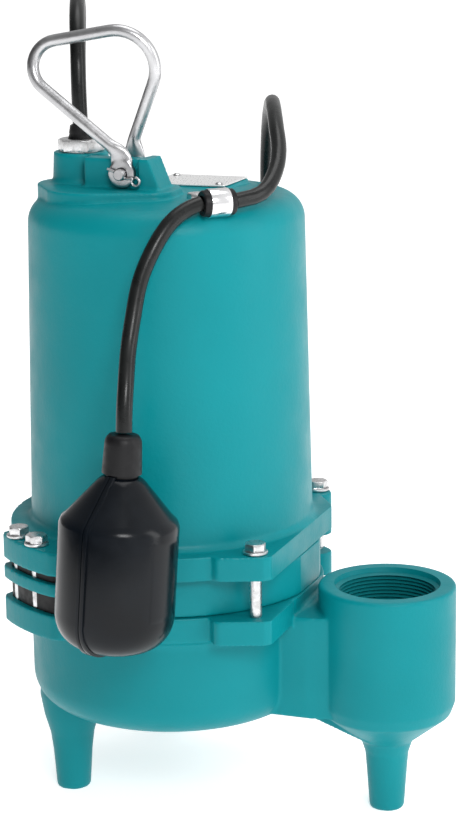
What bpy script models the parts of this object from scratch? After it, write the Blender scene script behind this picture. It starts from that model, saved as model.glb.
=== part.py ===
"""Submersible sump pump with a tethered float switch.

Units are metres, +Z is up and +X points from the pump's axis to the discharge port.
Every sub-part is one closed body in the collection "sump_pump". The cutters and the
shapes that are merged into the castings are in the collection "cutters".
"""
import math

import bmesh
import bpy
from mathutils import Matrix, Vector

# ---------------------------------------------------------------- driving dimensions
AXIS_X = -0.0393            # the pump's axis, measured from the middle of the footprint
AXIS_Y = 0.0341
GAP = 0.0003                # clearance between pieces that touch

HOUSING_TOP_RADIUS = 0.0810
HOUSING_BASE_RADIUS = 0.0845
HOUSING_INNER_RADIUS = 0.0760
SHOULDER_RADIUS = 0.0150
SHOULDER_Z = 0.3500         # where the upright wall turns into the shoulder
CROWN_Z = 0.3690
CEILING_Z = 0.3560

FLANGE_RADIUS = 0.0970
FLANGE_TOP = 0.1710
FLANGE_BOTTOM = 0.1570
FLAT_X = 0.0873             # the flat that faces the discharge port
EAR_RADIUS = 0.1070
BOLT_CIRCLE = 0.1005
LONG_BOLT_ANGLES = (-131.2, -40.4, 47.5, 139.6)
PLATE_SCREW_ANGLES = (-119.4, 59.3)
BOLT_RADIUS = 0.0031
BOLT_HOLE_RADIUS = 0.0036

PLATE_TOP = 0.1567          # seal plate
PLATE_BOTTOM = 0.1348
PLATE_RADIUS = 0.0890
PLATE_FLAT_RADIUS = 0.0872  # the gasket stays inside the flange's flat
PLATE_EAR_TOP = 0.1520
PLATE_EAR_BOTTOM = 0.1445

VOLUTE_TOP = 0.1332
VOLUTE_FLANGE_BOTTOM = 0.1185
VOLUTE_FLANGE_RADIUS = 0.0910
VOLUTE_RADIUS = 0.0860
VOLUTE_BOTTOM = 0.0570
VOLUTE_CORNER = 0.0200
CAVITY_RADIUS = 0.0740
CAVITY_FLOOR = 0.0660
SUCTION_RADIUS = 0.0300

DISCHARGE_X = 0.1350
DISCHARGE_TOP = 0.1395
DISCHARGE_RADIUS = 0.0405
DISCHARGE_BORE = 0.0300
DISCHARGE_BOTTOM = 0.0430

FEET = ((-0.0571, -0.0290), (-0.0360, 0.0840), (DISCHARGE_X, 0.0))
FOOT_RADIUS = 0.0098

BOSS = (-0.0490, -0.0100)   # cord boss on the housing's top
BOSS_RADIUS = 0.0160
BOSS_TOP = 0.3890
GLAND_BORE = 0.0113
CORD_RADIUS = 0.0045
EXIT_Z = 0.4050             # where the power cord leaves its bushing

PIN = (-0.0116, -0.0280, 0.3805)    # clevis pin of the lifting handle, along Y
PIN_RADIUS = 0.0034
HANDLE_RADIUS = 0.0036
EYE_OFFSET = 0.0092         # from the web's mid-plane to the middle of each handle eye
EYE_RADIUS = 0.0080
EYE_THICKNESS = 0.0044
WEB_THICKNESS = 0.0120

CLAMP = (0.0539, -0.0576, 0.3694)   # middle of the cord clamp on the shoulder
CLAMP_ANGLE = 43.2          # direction of the cord in the clamp, in plan
CUSHION_RADIUS = 0.0074
BAND_RADIUS = 0.0081

HINGE = (0.0465, -0.0643, 0.3694)   # where the float's tether leaves the clamp
FLOAT_CENTRE = (0.0204, -0.1331, 0.1780)
FLOAT_RADIUS = 0.0332
FLOAT_LEAN = (-3.0, 3.3)    # degrees about X and Y
SEAM_ANGLE = 78.0           # plan angle of the float's seam plane

SHAFT_TOP = 0.3520
SHAFT_BOTTOM = 0.0940

COIL_POWER = (-0.1000, 0.1900)
COIL_FLOAT = (0.0300, 0.2420)
COIL_TURN_RADIUS = 0.0630   # middle line of a coil's outer turn
COIL_RADIUS = 0.0680
COIL_INNER = 0.0310
COIL_BOTTOM = 0.0016
COIL_TOP = 0.0198
TAIL_POWER = 172.0          # plan angle at which each cord leaves its coil for its plug
TAIL_FLOAT = 90.0
PLUG_Z = 0.0122             # height of a plug's axis

# Routes of the cords, in the pump's frame. The points are chosen by hand.
POWER_ROUTE = (
    (-0.049, -0.010, 0.405), (-0.049, -0.010, 0.414), (-0.050, -0.009, 0.430),
    (-0.052, -0.004, 0.448), (-0.057, 0.007, 0.463), (-0.064, 0.024, 0.472),
    (-0.072, 0.043, 0.472), (-0.080, 0.062, 0.462), (-0.087, 0.076, 0.445),
    (-0.091, 0.084, 0.422), (-0.092, 0.086, 0.380), (-0.092, 0.086, 0.320),
    (-0.092, 0.086, 0.250), (-0.092, 0.086, 0.180), (-0.092, 0.086, 0.120),
    (-0.094, 0.087, 0.080), (-0.100, 0.092, 0.048), (-0.112, 0.103, 0.022),
    (-0.127, 0.118, 0.009), (-0.142, 0.136, 0.006), (-0.152, 0.151, 0.006),
    (-0.1584, 0.1664, 0.0062),
)
FLOAT_ROUTE = (
    (0.061, -0.051, 0.3694), (0.067, -0.044, 0.370), (0.0715, -0.035, 0.372),
    (0.0735, -0.025, 0.377), (0.0735, -0.014, 0.384), (0.071, -0.003, 0.391),
    (0.066, 0.009, 0.399), (0.060, 0.023, 0.406), (0.053, 0.040, 0.411),
    (0.046, 0.058, 0.4125), (0.039, 0.076, 0.410), (0.031, 0.095, 0.402),
    (0.025, 0.109, 0.388), (0.021, 0.118, 0.367), (0.0195, 0.122, 0.340),
    (0.019, 0.123, 0.300), (0.019, 0.123, 0.240), (0.019, 0.123, 0.180),
    (0.019, 0.123, 0.120), (0.020, 0.124, 0.080), (0.025, 0.129, 0.048),
    (0.036, 0.142, 0.021), (0.051, 0.160, 0.008), (0.066, 0.181, 0.006),
    (0.080, 0.201, 0.006), (0.088, 0.217, 0.006), (0.0920, 0.2311, 0.0062),
)
TETHER_ROUTE = (
    (0.0465, -0.0643, 0.3694), (0.041, -0.070, 0.367), (0.034, -0.080, 0.360),
    (0.028, -0.090, 0.347), (0.023, -0.097, 0.331), (0.021, -0.103, 0.313),
    (0.021, -0.111, 0.296), (0.0235, -0.1215, 0.280), (0.0246, -0.1272, 0.266),
    (0.0248, -0.1290, 0.2534),
)

# Corners of the bent handle rod and their bend radii, from its front leg to its rear leg.
HANDLE_CORNERS = (
    ((-0.0116, -0.0372, 0.3910), 0.012), ((-0.0875, -0.0360, 0.4490), 0.015),
    ((0.0175, -0.0250, 0.4670), 0.022), ((-0.0116, -0.0188, 0.3980), 0.012),
)

# ---------------------------------------------------------------- scene and materials
for old in list(bpy.data.objects):
    bpy.data.objects.remove(old, do_unlink=True)

PARTS = bpy.data.collections.new("sump_pump")
CUTTERS = bpy.data.collections.new("cutters")
bpy.context.scene.collection.children.link(PARTS)
bpy.context.scene.collection.children.link(CUTTERS)


def material(name, colour, roughness, metallic=0.0):
    """A Principled material with one colour."""
    mat = bpy.data.materials.new(name)
    mat.use_nodes = True
    shader = mat.node_tree.nodes["Principled BSDF"]
    shader.inputs["Base Color"].default_value = (*colour, 1.0)
    shader.inputs["Roughness"].default_value = roughness
    shader.inputs["Metallic"].default_value = metallic
    return mat


TEAL = material("teal_enamel", (0.006, 0.270, 0.300), 0.38)
ZINC = material("zinc_steel", (0.62, 0.62, 0.60), 0.32, 1.0)
STAINLESS = material("stainless_steel", (0.66, 0.66, 0.65), 0.26, 1.0)
BRIGHT = material("polished_steel", (0.80, 0.80, 0.80), 0.16, 1.0)
RUBBER = material("black_rubber", (0.012, 0.012, 0.013), 0.55)
PLASTIC = material("black_plastic", (0.016, 0.016, 0.018), 0.36)
COPPER = material("winding_copper", (0.45, 0.16, 0.06), 0.40, 0.8)
LAMINATE = material("lamination_steel", (0.30, 0.30, 0.31), 0.45, 1.0)
CERAMIC = material("seal_ceramic", (0.82, 0.80, 0.74), 0.25)
IRON = material("cast_iron", (0.10, 0.10, 0.10), 0.55, 0.6)
CAPACITOR = material("capacitor_can", (0.04, 0.04, 0.05), 0.40)
BRASS = material("plug_brass", (0.65, 0.47, 0.20), 0.30, 1.0)


# ---------------------------------------------------------------- modelling helpers
def frame(name, location, parent=None, rotation=(0.0, 0.0, 0.0)):
    """An empty that carries the pieces of one body or one assembly."""
    empty = bpy.data.objects.new(name, None)
    empty.location = location
    empty.rotation_euler = rotation
    empty.parent = parent
    PARTS.objects.link(empty)
    return empty


ROOT = frame("pump_frame", (AXIS_X, AXIS_Y, 0.0))


def add(name, mesh, mat, parent=None, location=(0, 0, 0), rotation=(0, 0, 0)):
    """Link a mesh as a finished part, or as a hidden helper where mat is None."""
    obj = bpy.data.objects.new(name, mesh)
    obj.location = location
    obj.rotation_euler = rotation
    obj.parent = parent or ROOT
    if mat is None:
        CUTTERS.objects.link(obj)
        obj.hide_render = True
        obj.display_type = "WIRE"
    else:
        PARTS.objects.link(obj)
        mesh.materials.append(mat)
    return obj


def smooth(obj, angle=32.0):
    """Shade round faces smooth and keep the real edges sharp."""
    obj.data.shade_smooth()
    obj.data.set_sharp_from_angle(angle=math.radians(angle))


def turned(name, profile, mat, segments=48, closed=False, **place):
    """A turned piece. The profile (radius, height) runs down its outer side."""
    mesh = bpy.data.meshes.new(name)
    last = len(profile)
    edges = [(i, i + 1) for i in range(last - 1)]
    if closed:
        edges.append((last - 1, 0))
    mesh.from_pydata([(r, 0.0, z) for r, z in profile], edges, [])
    obj = add(name, mesh, mat, **place)
    screw = obj.modifiers.new("turn", "SCREW")
    screw.axis = "Z"
    screw.angle = 2.0 * math.pi
    screw.steps = segments
    screw.render_steps = segments
    screw.use_merge_vertices = True
    screw.merge_threshold = 0.00001
    screw.use_smooth_shade = True
    return obj


def ring(name, inner, outer, bottom, top, mat, segments=48, **place):
    """A plain turned ring with a square section."""
    profile = ((inner, top), (outer, top), (outer, bottom), (inner, bottom))
    return turned(name, profile, mat, segments, closed=True, **place)


def arc(centre, radius, start, end, steps):
    """Points of a circular arc in a plane, angles in degrees."""
    points = []
    for i in range(steps + 1):
        angle = math.radians(start + (end - start) * i / steps)
        points.append((centre[0] + radius * math.cos(angle),
                       centre[1] + radius * math.sin(angle)))
    return points


def cylinder(name, radius, bottom, top, mat, segments=24, radius_top=None, **place):
    """An upright cylinder or cone between two heights."""
    mesh = bpy.data.meshes.new(name)
    shape = bmesh.new()
    middle = Matrix.Translation((0.0, 0.0, (bottom + top) / 2.0))
    upper = radius if radius_top is None else radius_top
    bmesh.ops.create_cone(shape, cap_ends=True, segments=segments, radius1=radius,
                          radius2=upper, depth=top - bottom, matrix=middle)
    shape.to_mesh(mesh)
    shape.free()
    obj = add(name, mesh, mat, **place)
    if segments > 6:
        smooth(obj)
    return obj


def box(name, low, high, mat, **place):
    """A box between two corners."""
    mesh = bpy.data.meshes.new(name)
    shape = bmesh.new()
    size = [b - a for a, b in zip(low, high)]
    centre = [(a + b) / 2.0 for a, b in zip(low, high)]
    matrix = Matrix.Translation(centre) @ Matrix.Diagonal((*size, 1.0))
    bmesh.ops.create_cube(shape, size=1.0, matrix=matrix)
    shape.to_mesh(mesh)
    shape.free()
    return add(name, mesh, mat, **place)


def curve_to_mesh(curve_object):
    """The curve's evaluated shape as a mesh with its caps welded on."""
    bpy.context.view_layer.update()
    depsgraph = bpy.context.evaluated_depsgraph_get()
    mesh = bpy.data.meshes.new_from_object(curve_object.evaluated_get(depsgraph))
    shape = bmesh.new()
    shape.from_mesh(mesh)
    bmesh.ops.remove_doubles(shape, verts=shape.verts, dist=0.000001)
    shape.to_mesh(mesh)
    shape.free()
    bpy.data.objects.remove(curve_object, do_unlink=True)
    return mesh


def plate(name, outline, bottom, top, mat, **place):
    """A flat outline (x, y) given a thickness between two heights."""
    curve = bpy.data.curves.new(name, "CURVE")
    curve.dimensions = "2D"
    curve.fill_mode = "BOTH"
    curve.extrude = (top - bottom) / 2.0
    spline = curve.splines.new("POLY")
    spline.points.add(len(outline) - 1)
    for point, (x, y) in zip(spline.points, outline):
        point.co = (x, y, 0.0, 1.0)
    spline.use_cyclic_u = True
    guide = bpy.data.objects.new(name + "_outline", curve)
    CUTTERS.objects.link(guide)
    mesh = curve_to_mesh(guide)
    mesh.transform(Matrix.Translation((0.0, 0.0, (bottom + top) / 2.0)))
    return add(name, mesh, mat, **place)


def smooth_route(points, spacing):
    """Evenly spaced points on a smooth curve through the given points."""
    knots = [Vector(p) for p in points]
    count = len(knots)
    steps = [math.sqrt((knots[i + 1] - knots[i]).length) for i in range(count - 1)]
    slopes = natural_spline_slopes(knots, steps)
    dense = []
    for i in range(count - 1):
        h = steps[i]
        for k in range(24):
            t = k / 24.0
            dense.append(hermite(knots[i], knots[i + 1], slopes[i] * h, slopes[i + 1] * h, t))
    dense.append(knots[-1])
    length = sum((b - a).length for a, b in zip(dense, dense[1:]))
    pieces = max(2, round(length / spacing))
    wanted = length / pieces
    result = [dense[0]]
    walked = 0.0
    for a, b in zip(dense, dense[1:]):
        run = (b - a).length
        while walked + run >= wanted * len(result) and len(result) < pieces:
            share = (wanted * len(result) - walked) / run
            result.append(a.lerp(b, share))
        walked += run
    result.append(dense[-1])
    return result


def hermite(a, b, slope_a, slope_b, t):
    """A point on the cubic between a and b."""
    t2 = t * t
    t3 = t2 * t
    return (a * (2 * t3 - 3 * t2 + 1) + slope_a * (t3 - 2 * t2 + t)
            + b * (3 * t2 - 2 * t3) + slope_b * (t3 - t2))


def natural_spline_slopes(knots, steps):
    """Slopes at the knots of a natural cubic spline, by the Thomas algorithm."""
    last = len(knots) - 1
    lower = [0.0] + [1.0 / steps[i - 1] for i in range(1, last)] + [1.0 / steps[-1]]
    upper = [1.0 / steps[0]] + [1.0 / steps[i] for i in range(1, last)] + [0.0]
    middle = [2.0 * (a + b) for a, b in zip(lower, upper)]
    right = []
    for i in range(last + 1):
        value = Vector((0.0, 0.0, 0.0))
        if i > 0:
            value += 3.0 * (knots[i] - knots[i - 1]) / steps[i - 1] ** 2
        if i < last:
            value += 3.0 * (knots[i + 1] - knots[i]) / steps[i] ** 2
        right.append(value)
    for i in range(1, last + 1):
        factor = lower[i] / middle[i - 1]
        middle[i] -= factor * upper[i - 1]
        right[i] -= factor * right[i - 1]
    slopes = [right[last] / middle[last]]
    for i in range(last - 1, -1, -1):
        slopes.insert(0, (right[i] - upper[i] * slopes[0]) / middle[i])
    return slopes


def bent_line(start, corners, end, steps=6):
    """A line with straight runs between corners and a round bend at each corner."""
    stops = [Vector(start)] + [Vector(c) for c, _ in corners] + [Vector(end)]
    line = [stops[0]]
    for i, (_, radius) in enumerate(corners, 1):
        back = (stops[i - 1] - stops[i]).normalized()
        ahead = (stops[i + 1] - stops[i]).normalized()
        half = back.angle(ahead) / 2.0
        middle = (back + ahead).normalized()
        centre = stops[i] + middle * (radius / math.sin(half))
        first = stops[i] + back * (radius / math.tan(half)) - centre
        last = stops[i] + ahead * (radius / math.tan(half)) - centre
        for step in range(steps + 1):
            line.append(centre + first.slerp(last, step / steps) * radius)
    line.append(stops[-1])
    return line


def rod(name, points, radius, mat, resolution=2, **place):
    """A round bar, wire or cord along a line of points."""
    curve = bpy.data.curves.new(name, "CURVE")
    curve.dimensions = "3D"
    curve.bevel_depth = radius
    curve.bevel_resolution = resolution
    curve.render_resolution_u = 0
    curve.use_fill_caps = True
    spline = curve.splines.new("POLY")
    spline.points.add(len(points) - 1)
    for point, place_xyz in zip(spline.points, points):
        point.co = (*place_xyz, 1.0)
    guide = bpy.data.objects.new(name + "_line", curve)
    CUTTERS.objects.link(guide)
    obj = add(name, curve_to_mesh(guide), mat, **place)
    smooth(obj, 50.0)
    return obj


def combine(target, other, operation):
    """A Boolean modifier that uses a helper object."""
    modifier = target.modifiers.new(operation.lower(), "BOOLEAN")
    modifier.operation = operation
    modifier.object = other
    modifier.solver = "EXACT"


def merge(target, *others):
    for other in others:
        combine(target, other, "UNION")


def cut(target, *others):
    for other in others:
        combine(target, other, "DIFFERENCE")


def weld(target):
    """Fuse the doubled points that cuts leave behind."""
    modifier = target.modifiers.new("weld", "WELD")
    modifier.merge_threshold = 0.00003


def polar(radius, angle):
    """A plan point at a radius and an angle in degrees."""
    return (radius * math.cos(math.radians(angle)), radius * math.sin(math.radians(angle)))


def relative(points, origin):
    return [tuple(a - b for a, b in zip(p, origin)) for p in points]


def hexagon(name, radius, bottom, top, mat, turn=0.0, **place):
    """A hexagonal prism, used for nuts and bolt heads."""
    return cylinder(name, radius, bottom, top, mat, segments=6,
                    rotation=(0, 0, math.radians(turn)), **place)


# ---------------------------------------------------------------- castings
def sector_ear(start, end, radius, corner):
    """Outline of an ear that follows the flange, with rounded outer corners."""
    inner = 0.078
    turn = math.degrees(corner / (radius - corner))
    first = polar(radius - corner, start + turn)
    last = polar(radius - corner, end - turn)
    outline = [polar(inner, start)]
    outline += arc(first, corner, start - 90.0, start + turn, 4)
    outline += arc((0.0, 0.0), radius, start + turn, end - turn, 5)[1:-1]
    outline += arc(last, corner, end - turn, end + 90.0, 4)
    outline.append(polar(inner, end))
    return outline


def square_ear(turn):
    """Outline of the squared ear beside the flat, turned about the pump's axis."""
    corners = ((0.0400, -0.0600), (0.0560, -0.0800), (0.0588, -0.0812), (0.0840, -0.0722),
               (0.0881, -0.0682), (0.0881, -0.0300), (0.0600, -0.0300))
    spin = Matrix.Rotation(math.radians(turn), 2)
    return [tuple(spin @ Vector(c)) for c in corners]


EAR_A = sector_ear(-140.5, -105.0, EAR_RADIUS, 0.0085)
EAR_D = sector_ear(40.5, 74.0, EAR_RADIUS, 0.0085)
EAR_C = square_ear(0.0)
EAR_E = square_ear(180.0)


def flange_ears(prefix, outlines, bottom, top):
    """The ears of a flange, just thinner than it, that end inside its wall."""
    inset = 0.0002
    ears = []
    for key, outline in outlines:
        ear = plate(f"{prefix}_ear_{key}", outline, bottom + inset, top - inset, None)
        cut(ear, cylinder(f"{prefix}_ear_room_{key}", 0.0790, bottom - 0.01, top + 0.01, None, 40))
        ears.append(ear)
    return ears


def bolt_cutters(prefix, angles, bottom, top):
    """Round cutters for the bolt holes."""
    cutters = []
    for number, angle in enumerate(angles, 1):
        x, y = polar(BOLT_CIRCLE, angle)
        name = f"{prefix}_hole_{number}"
        cutters.append(cylinder(name, BOLT_HOLE_RADIUS, bottom, top, None, segments=12,
                                location=(x, y, 0.0)))
    return cutters


def motor_housing():
    corner = SHOULDER_RADIUS
    shoulder = HOUSING_TOP_RADIUS - corner
    profile = [(0.0, CROWN_Z), (0.022, CROWN_Z - 0.0004), (0.045, CROWN_Z - 0.0018)]
    profile += reversed(arc((shoulder, SHOULDER_Z), corner, 0.0, 90.0, 6))
    profile += [(HOUSING_BASE_RADIUS, FLANGE_TOP + 0.0045)]
    profile += [(HOUSING_BASE_RADIUS + 0.0035, FLANGE_TOP)]
    profile += [(FLANGE_RADIUS, FLANGE_TOP), (FLANGE_RADIUS, FLANGE_BOTTOM)]
    profile += [(HOUSING_INNER_RADIUS, FLANGE_BOTTOM), (HOUSING_INNER_RADIUS - 0.002, 0.345)]
    profile += [(HOUSING_INNER_RADIUS - 0.011, CEILING_Z), (0.0, CEILING_Z)]
    body = turned("motor_housing", profile, TEAL, segments=48)
    boss = cylinder("boss", BOSS_RADIUS + 0.0012, 0.350, BOSS_TOP, None, 28,
                    radius_top=BOSS_RADIUS, location=(*BOSS, 0.0))
    pedestal = plate("pedestal", pedestal_outline(), 0.350, 0.3715, None)
    web_low = (-0.0370, PIN[1] - WEB_THICKNESS / 2.0, 0.358)
    web_high = (0.0020, PIN[1] + WEB_THICKNESS / 2.0, 0.3885)
    web = box("web", web_low, web_high, None)
    outlines = (("a", EAR_A), ("c", EAR_C), ("d", EAR_D), ("e", EAR_E))
    ears = flange_ears("housing", outlines, FLANGE_BOTTOM, FLANGE_TOP)
    pad = box("nameplate_pad", (-0.0115, -0.0015, 0.360), (0.0370, 0.0400, 0.3692), None)
    tab_pad = cylinder("clamp_pad", 0.0078, 0.358, 0.3670, None, 20,
                       location=(*clamp_screw_place(), 0.0))
    hanger = cylinder("bearing_hanger", 0.0260, 0.3390, CEILING_Z + 0.002, None, 32)
    merge(body, boss, pedestal, buttress(), web, pad, tab_pad, hanger, *ears)
    flat = box("flange_flat", (FLAT_X, -0.12, 0.150), (0.13, 0.12, 0.180), None)
    gland = cylinder("gland_bore", GLAND_BORE, 0.350, 0.400, None, 24, location=(*BOSS, 0.0))
    pin_hole = cylinder("lug_hole", PIN_RADIUS + 0.0004, -0.02, 0.02, None, 16,
                        location=PIN, rotation=(math.radians(90), 0, 0))
    bearing = cylinder("upper_bearing_bore", 0.0203, 0.330, 0.3520, None, 32)
    screw = cylinder("clamp_screw_hole", 0.0023, 0.3605, 0.372, None, 10,
                     location=(*clamp_screw_place(), 0.0))
    plate_room = box("nameplate_room", (-0.0114, -0.0014, 0.3692), (0.0369, 0.0399, 0.380), None)
    cut(body, flat, gland, pin_hole, bearing, screw, plate_room)
    cut(body, *bolt_cutters("housing", LONG_BOLT_ANGLES + PLATE_SCREW_ANGLES, 0.15, 0.178))
    return body


def pedestal_outline():
    """Plan of the raised plateau that carries the boss and the lug."""
    outline = arc((-0.0490, -0.0150), 0.0240, 90.0, 225.0, 6)
    outline += arc((-0.0300, -0.0260), 0.0330, 225.0, 290.0, 4)
    outline += arc((0.0060, -0.0350), 0.0130, 290.0, 360.0, 4)
    outline += [(0.0190, -0.0220), (0.0120, -0.0100), (-0.0200, 0.0060)]
    return outline


def buttress():
    """The thick tapered end of the lug, beside the handle's eyes."""
    outline = ((-0.0015, 0.0), (0.0045, 0.0), (0.0125, -0.0200), (-0.0015, -0.0200))
    half = 0.0105
    return plate("buttress", outline, -half, half, None,
                 location=(0.0, PIN[1], 0.3890), rotation=(math.radians(90), 0, 0))


def seal_plate():
    profile = ((0.0755, 0.1660), (0.0755, PLATE_TOP), (PLATE_RADIUS, PLATE_TOP),
               (PLATE_RADIUS, PLATE_BOTTOM), (0.0180, PLATE_BOTTOM), (0.0180, 0.1460),
               (0.0115, 0.1460), (0.0115, 0.1477), (0.0240, 0.1477), (0.0240, 0.1640),
               (0.0300, 0.1640), (0.0340, 0.1580), (0.0660, 0.1580), (0.0700, 0.1660))
    body = turned("seal_plate", profile, TEAL, segments=48, closed=True)
    outlines = (("a", EAR_A), ("d", EAR_D))
    ears = flange_ears("plate", outlines, PLATE_EAR_BOTTOM, PLATE_EAR_TOP)
    merge(body, *ears)
    groove = ring("o_ring_groove", 0.0782, 0.0818, 0.1540, 0.1580, None, 64)
    flat = box("plate_flat", (FLAT_X, -0.12, 0.130), (0.13, 0.12, 0.170), None)
    cut(body, groove, flat)
    long_angles = (LONG_BOLT_ANGLES[0], LONG_BOLT_ANGLES[2])
    cut(body, *bolt_cutters("plate", long_angles + PLATE_SCREW_ANGLES, 0.130, 0.158))
    return body


def leg(number, x, y):
    """A tapered leg that flares into the volute's bottom."""
    profile = [(0.0, 0.0880), (0.0100, 0.0860), (0.0170, 0.0740), (0.0185, 0.0600)]
    profile += [(0.0165, 0.0470), (0.0130, 0.0350), (0.0117, 0.0240)]
    profile += [(FOOT_RADIUS, 0.0010), (FOOT_RADIUS - 0.0012, 0.0), (0.0, 0.0)]
    return turned(f"leg_{number}", profile, None, segments=24, location=(x, y, 0.0))


def volute_casing():
    outer = VOLUTE_RADIUS - VOLUTE_CORNER
    lip = 0.0035
    profile = [(0.0, VOLUTE_TOP), (VOLUTE_FLANGE_RADIUS, VOLUTE_TOP)]
    profile += [(VOLUTE_FLANGE_RADIUS, VOLUTE_FLANGE_BOTTOM)]
    profile += [(VOLUTE_RADIUS, VOLUTE_FLANGE_BOTTOM - 0.004)]
    profile += reversed(arc((outer, VOLUTE_BOTTOM + VOLUTE_CORNER), VOLUTE_CORNER, 270, 360, 6))
    profile += [(SUCTION_RADIUS + 0.0080, VOLUTE_BOTTOM)]
    profile += [(SUCTION_RADIUS + 0.0070, VOLUTE_BOTTOM - lip), (0.0, VOLUTE_BOTTOM - lip)]
    body = turned("volute_casing", profile, TEAL, segments=48)
    outlines = (("a", EAR_A), ("c", EAR_C), ("d", EAR_D), ("e", EAR_E))
    ears = flange_ears("volute", outlines, VOLUTE_FLANGE_BOTTOM, VOLUTE_TOP)
    port = [(0.0, DISCHARGE_TOP), (DISCHARGE_RADIUS - 0.0015, DISCHARGE_TOP),
            (DISCHARGE_RADIUS, DISCHARGE_TOP - 0.0020), (DISCHARGE_RADIUS, 0.0680),
            (DISCHARGE_RADIUS - 0.0025, 0.0610), (0.0150, DISCHARGE_BOTTOM),
            (0.0127, 0.0350), (0.0117, 0.0240), (FOOT_RADIUS, 0.0010),
            (FOOT_RADIUS - 0.0012, 0.0), (0.0, 0.0)]
    discharge = turned("discharge_boss", port, None, segments=48,
                       location=(DISCHARGE_X, 0.0, 0.0))
    neck = plate("neck", neck_outline(), 0.0620, 0.1240, None)
    web = plate("neck_web", ((0.0700, 0.0665), (0.1300, 0.0450), (0.1300, 0.0800),
                             (0.0700, 0.0800)), -0.0200, 0.0200, None,
                rotation=(math.radians(90), 0, 0))
    legs = [leg(number, x, y) for number, (x, y) in enumerate(FEET[:2], 1)]
    flat = box("volute_flat", (FLAT_X, -0.12, 0.1150), (0.13, 0.12, 0.140), None)
    merge(body, *ears)
    cut(body, flat)
    merge(body, neck, discharge, web, *legs)
    weld(body)
    cavity = turned("pump_chamber", ((0.0, 0.140), (CAVITY_RADIUS, 0.140),
                    (CAVITY_RADIUS, CAVITY_FLOOR), (0.0, CAVITY_FLOOR)), None, segments=48)
    eye = cylinder("suction_eye", SUCTION_RADIUS, 0.040, 0.070, None, 32)
    bore = cylinder("discharge_bore", DISCHARGE_BORE, 0.0720, 0.150, None, 48,
                    location=(DISCHARGE_X, 0.0, 0.0))
    throat = plate("throat", ((0.040, -0.0230), (0.130, -0.0230), (0.130, 0.0230),
                              (0.040, 0.0230)), 0.0740, 0.1120, None)
    cut(body, cavity, eye, bore, throat)
    weld(body)
    cut(body, *bolt_cutters("volute", LONG_BOLT_ANGLES, 0.110, 0.140))
    weld(body)
    return body


def neck_outline():
    """Plan of the passage between the volute and the discharge boss."""
    half_in = 0.0330
    half_out = 0.0270
    return ((0.060, -half_in), (0.095, -half_in), (0.130, -half_out), (0.130, half_out),
            (0.095, half_in), (0.060, half_in))


def casings():
    motor_housing()
    seal_plate()
    volute_casing()
    ring("volute_gasket", 0.0750, PLATE_FLAT_RADIUS, VOLUTE_TOP + GAP, PLATE_BOTTOM - GAP, TEAL, 48)
    section = arc((0.0800, 0.1554), 0.0011, 90.0, -225.0, 7)
    turned("housing_o_ring", section, RUBBER, segments=48, closed=True)


# ---------------------------------------------------------------- motor and pump end
def motor():
    ring("stator_core", 0.0384, HOUSING_INNER_RADIUS - 0.0025, 0.2150, 0.3000, LAMINATE, 48)
    for name, bottom, top in (("stator_winding_upper", 0.3003, 0.3220),
                              ("stator_winding_lower", 0.1930, 0.2147)):
        profile = ((0.0440, top - 0.004), (0.0480, top), (0.0640, top), (0.0680, top - 0.004),
                   (0.0680, bottom + 0.004), (0.0640, bottom), (0.0480, bottom),
                   (0.0440, bottom + 0.004))
        turned(name, profile, COPPER, segments=28, closed=True)
    ring("upper_bearing_outer", 0.0166, 0.0200, 0.3395, 0.3515, BRIGHT, 32)
    ring("lower_bearing_outer", 0.0196, 0.0237, 0.1480, 0.1620, BRIGHT, 32)
    ring("seal_seat", 0.0095, 0.0177, 0.1362, 0.1412, CERAMIC, 32)
    cylinder("run_capacitor", 0.0110, -0.0250, 0.0250, CAPACITOR, 20,
             location=(0.0, -0.0480, 0.3375), rotation=(0, math.radians(90), 0))
    box("thermal_protector", (-0.0120, 0.0420, 0.3223), (0.0120, 0.0560, 0.3300), PLASTIC)


def rotor(axis):
    profile = ((0.0, SHAFT_TOP), (0.0085, SHAFT_TOP), (0.0085, 0.3370), (0.0105, 0.3370),
               (0.0105, 0.1630), (0.0099, 0.1625), (0.0099, 0.1460), (0.0080, 0.1455),
               (0.0080, 0.1040), (0.0050, 0.1040), (0.0050, SHAFT_BOTTOM), (0.0, SHAFT_BOTTOM))
    turned("motor_shaft", profile, STAINLESS, segments=24, parent=axis)
    ring("rotor_core", 0.0108, 0.0376, 0.2120, 0.3030, LAMINATE, 40, parent=axis)
    ring("upper_bearing_inner", 0.0088, 0.0120, 0.3395, 0.3515, BRIGHT, 28, parent=axis)
    ring("lower_bearing_inner", 0.0102, 0.0145, 0.1480, 0.1620, BRIGHT, 28, parent=axis)
    ring("seal_head", 0.0083, 0.0150, 0.1318, 0.1358, RUBBER, 28, parent=axis)
    turns = 3
    steps = 12 * turns
    coil = []
    for i in range(steps + 1):
        angle = 2.0 * math.pi * i / 12.0
        height = 0.1246 + (0.1304 - 0.1246) * i / steps
        coil.append((0.0115 * math.cos(angle), 0.0115 * math.sin(angle), height))
    rod("seal_spring", coil, 0.0007, STAINLESS, resolution=1, parent=axis)
    impeller(axis)
    nut = hexagon("impeller_nut", 0.0085, 0.0960, 0.1035, STAINLESS, parent=axis)
    cut(nut, cylinder("nut_bore", 0.0053, 0.090, 0.110, None, 16, parent=axis))


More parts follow.
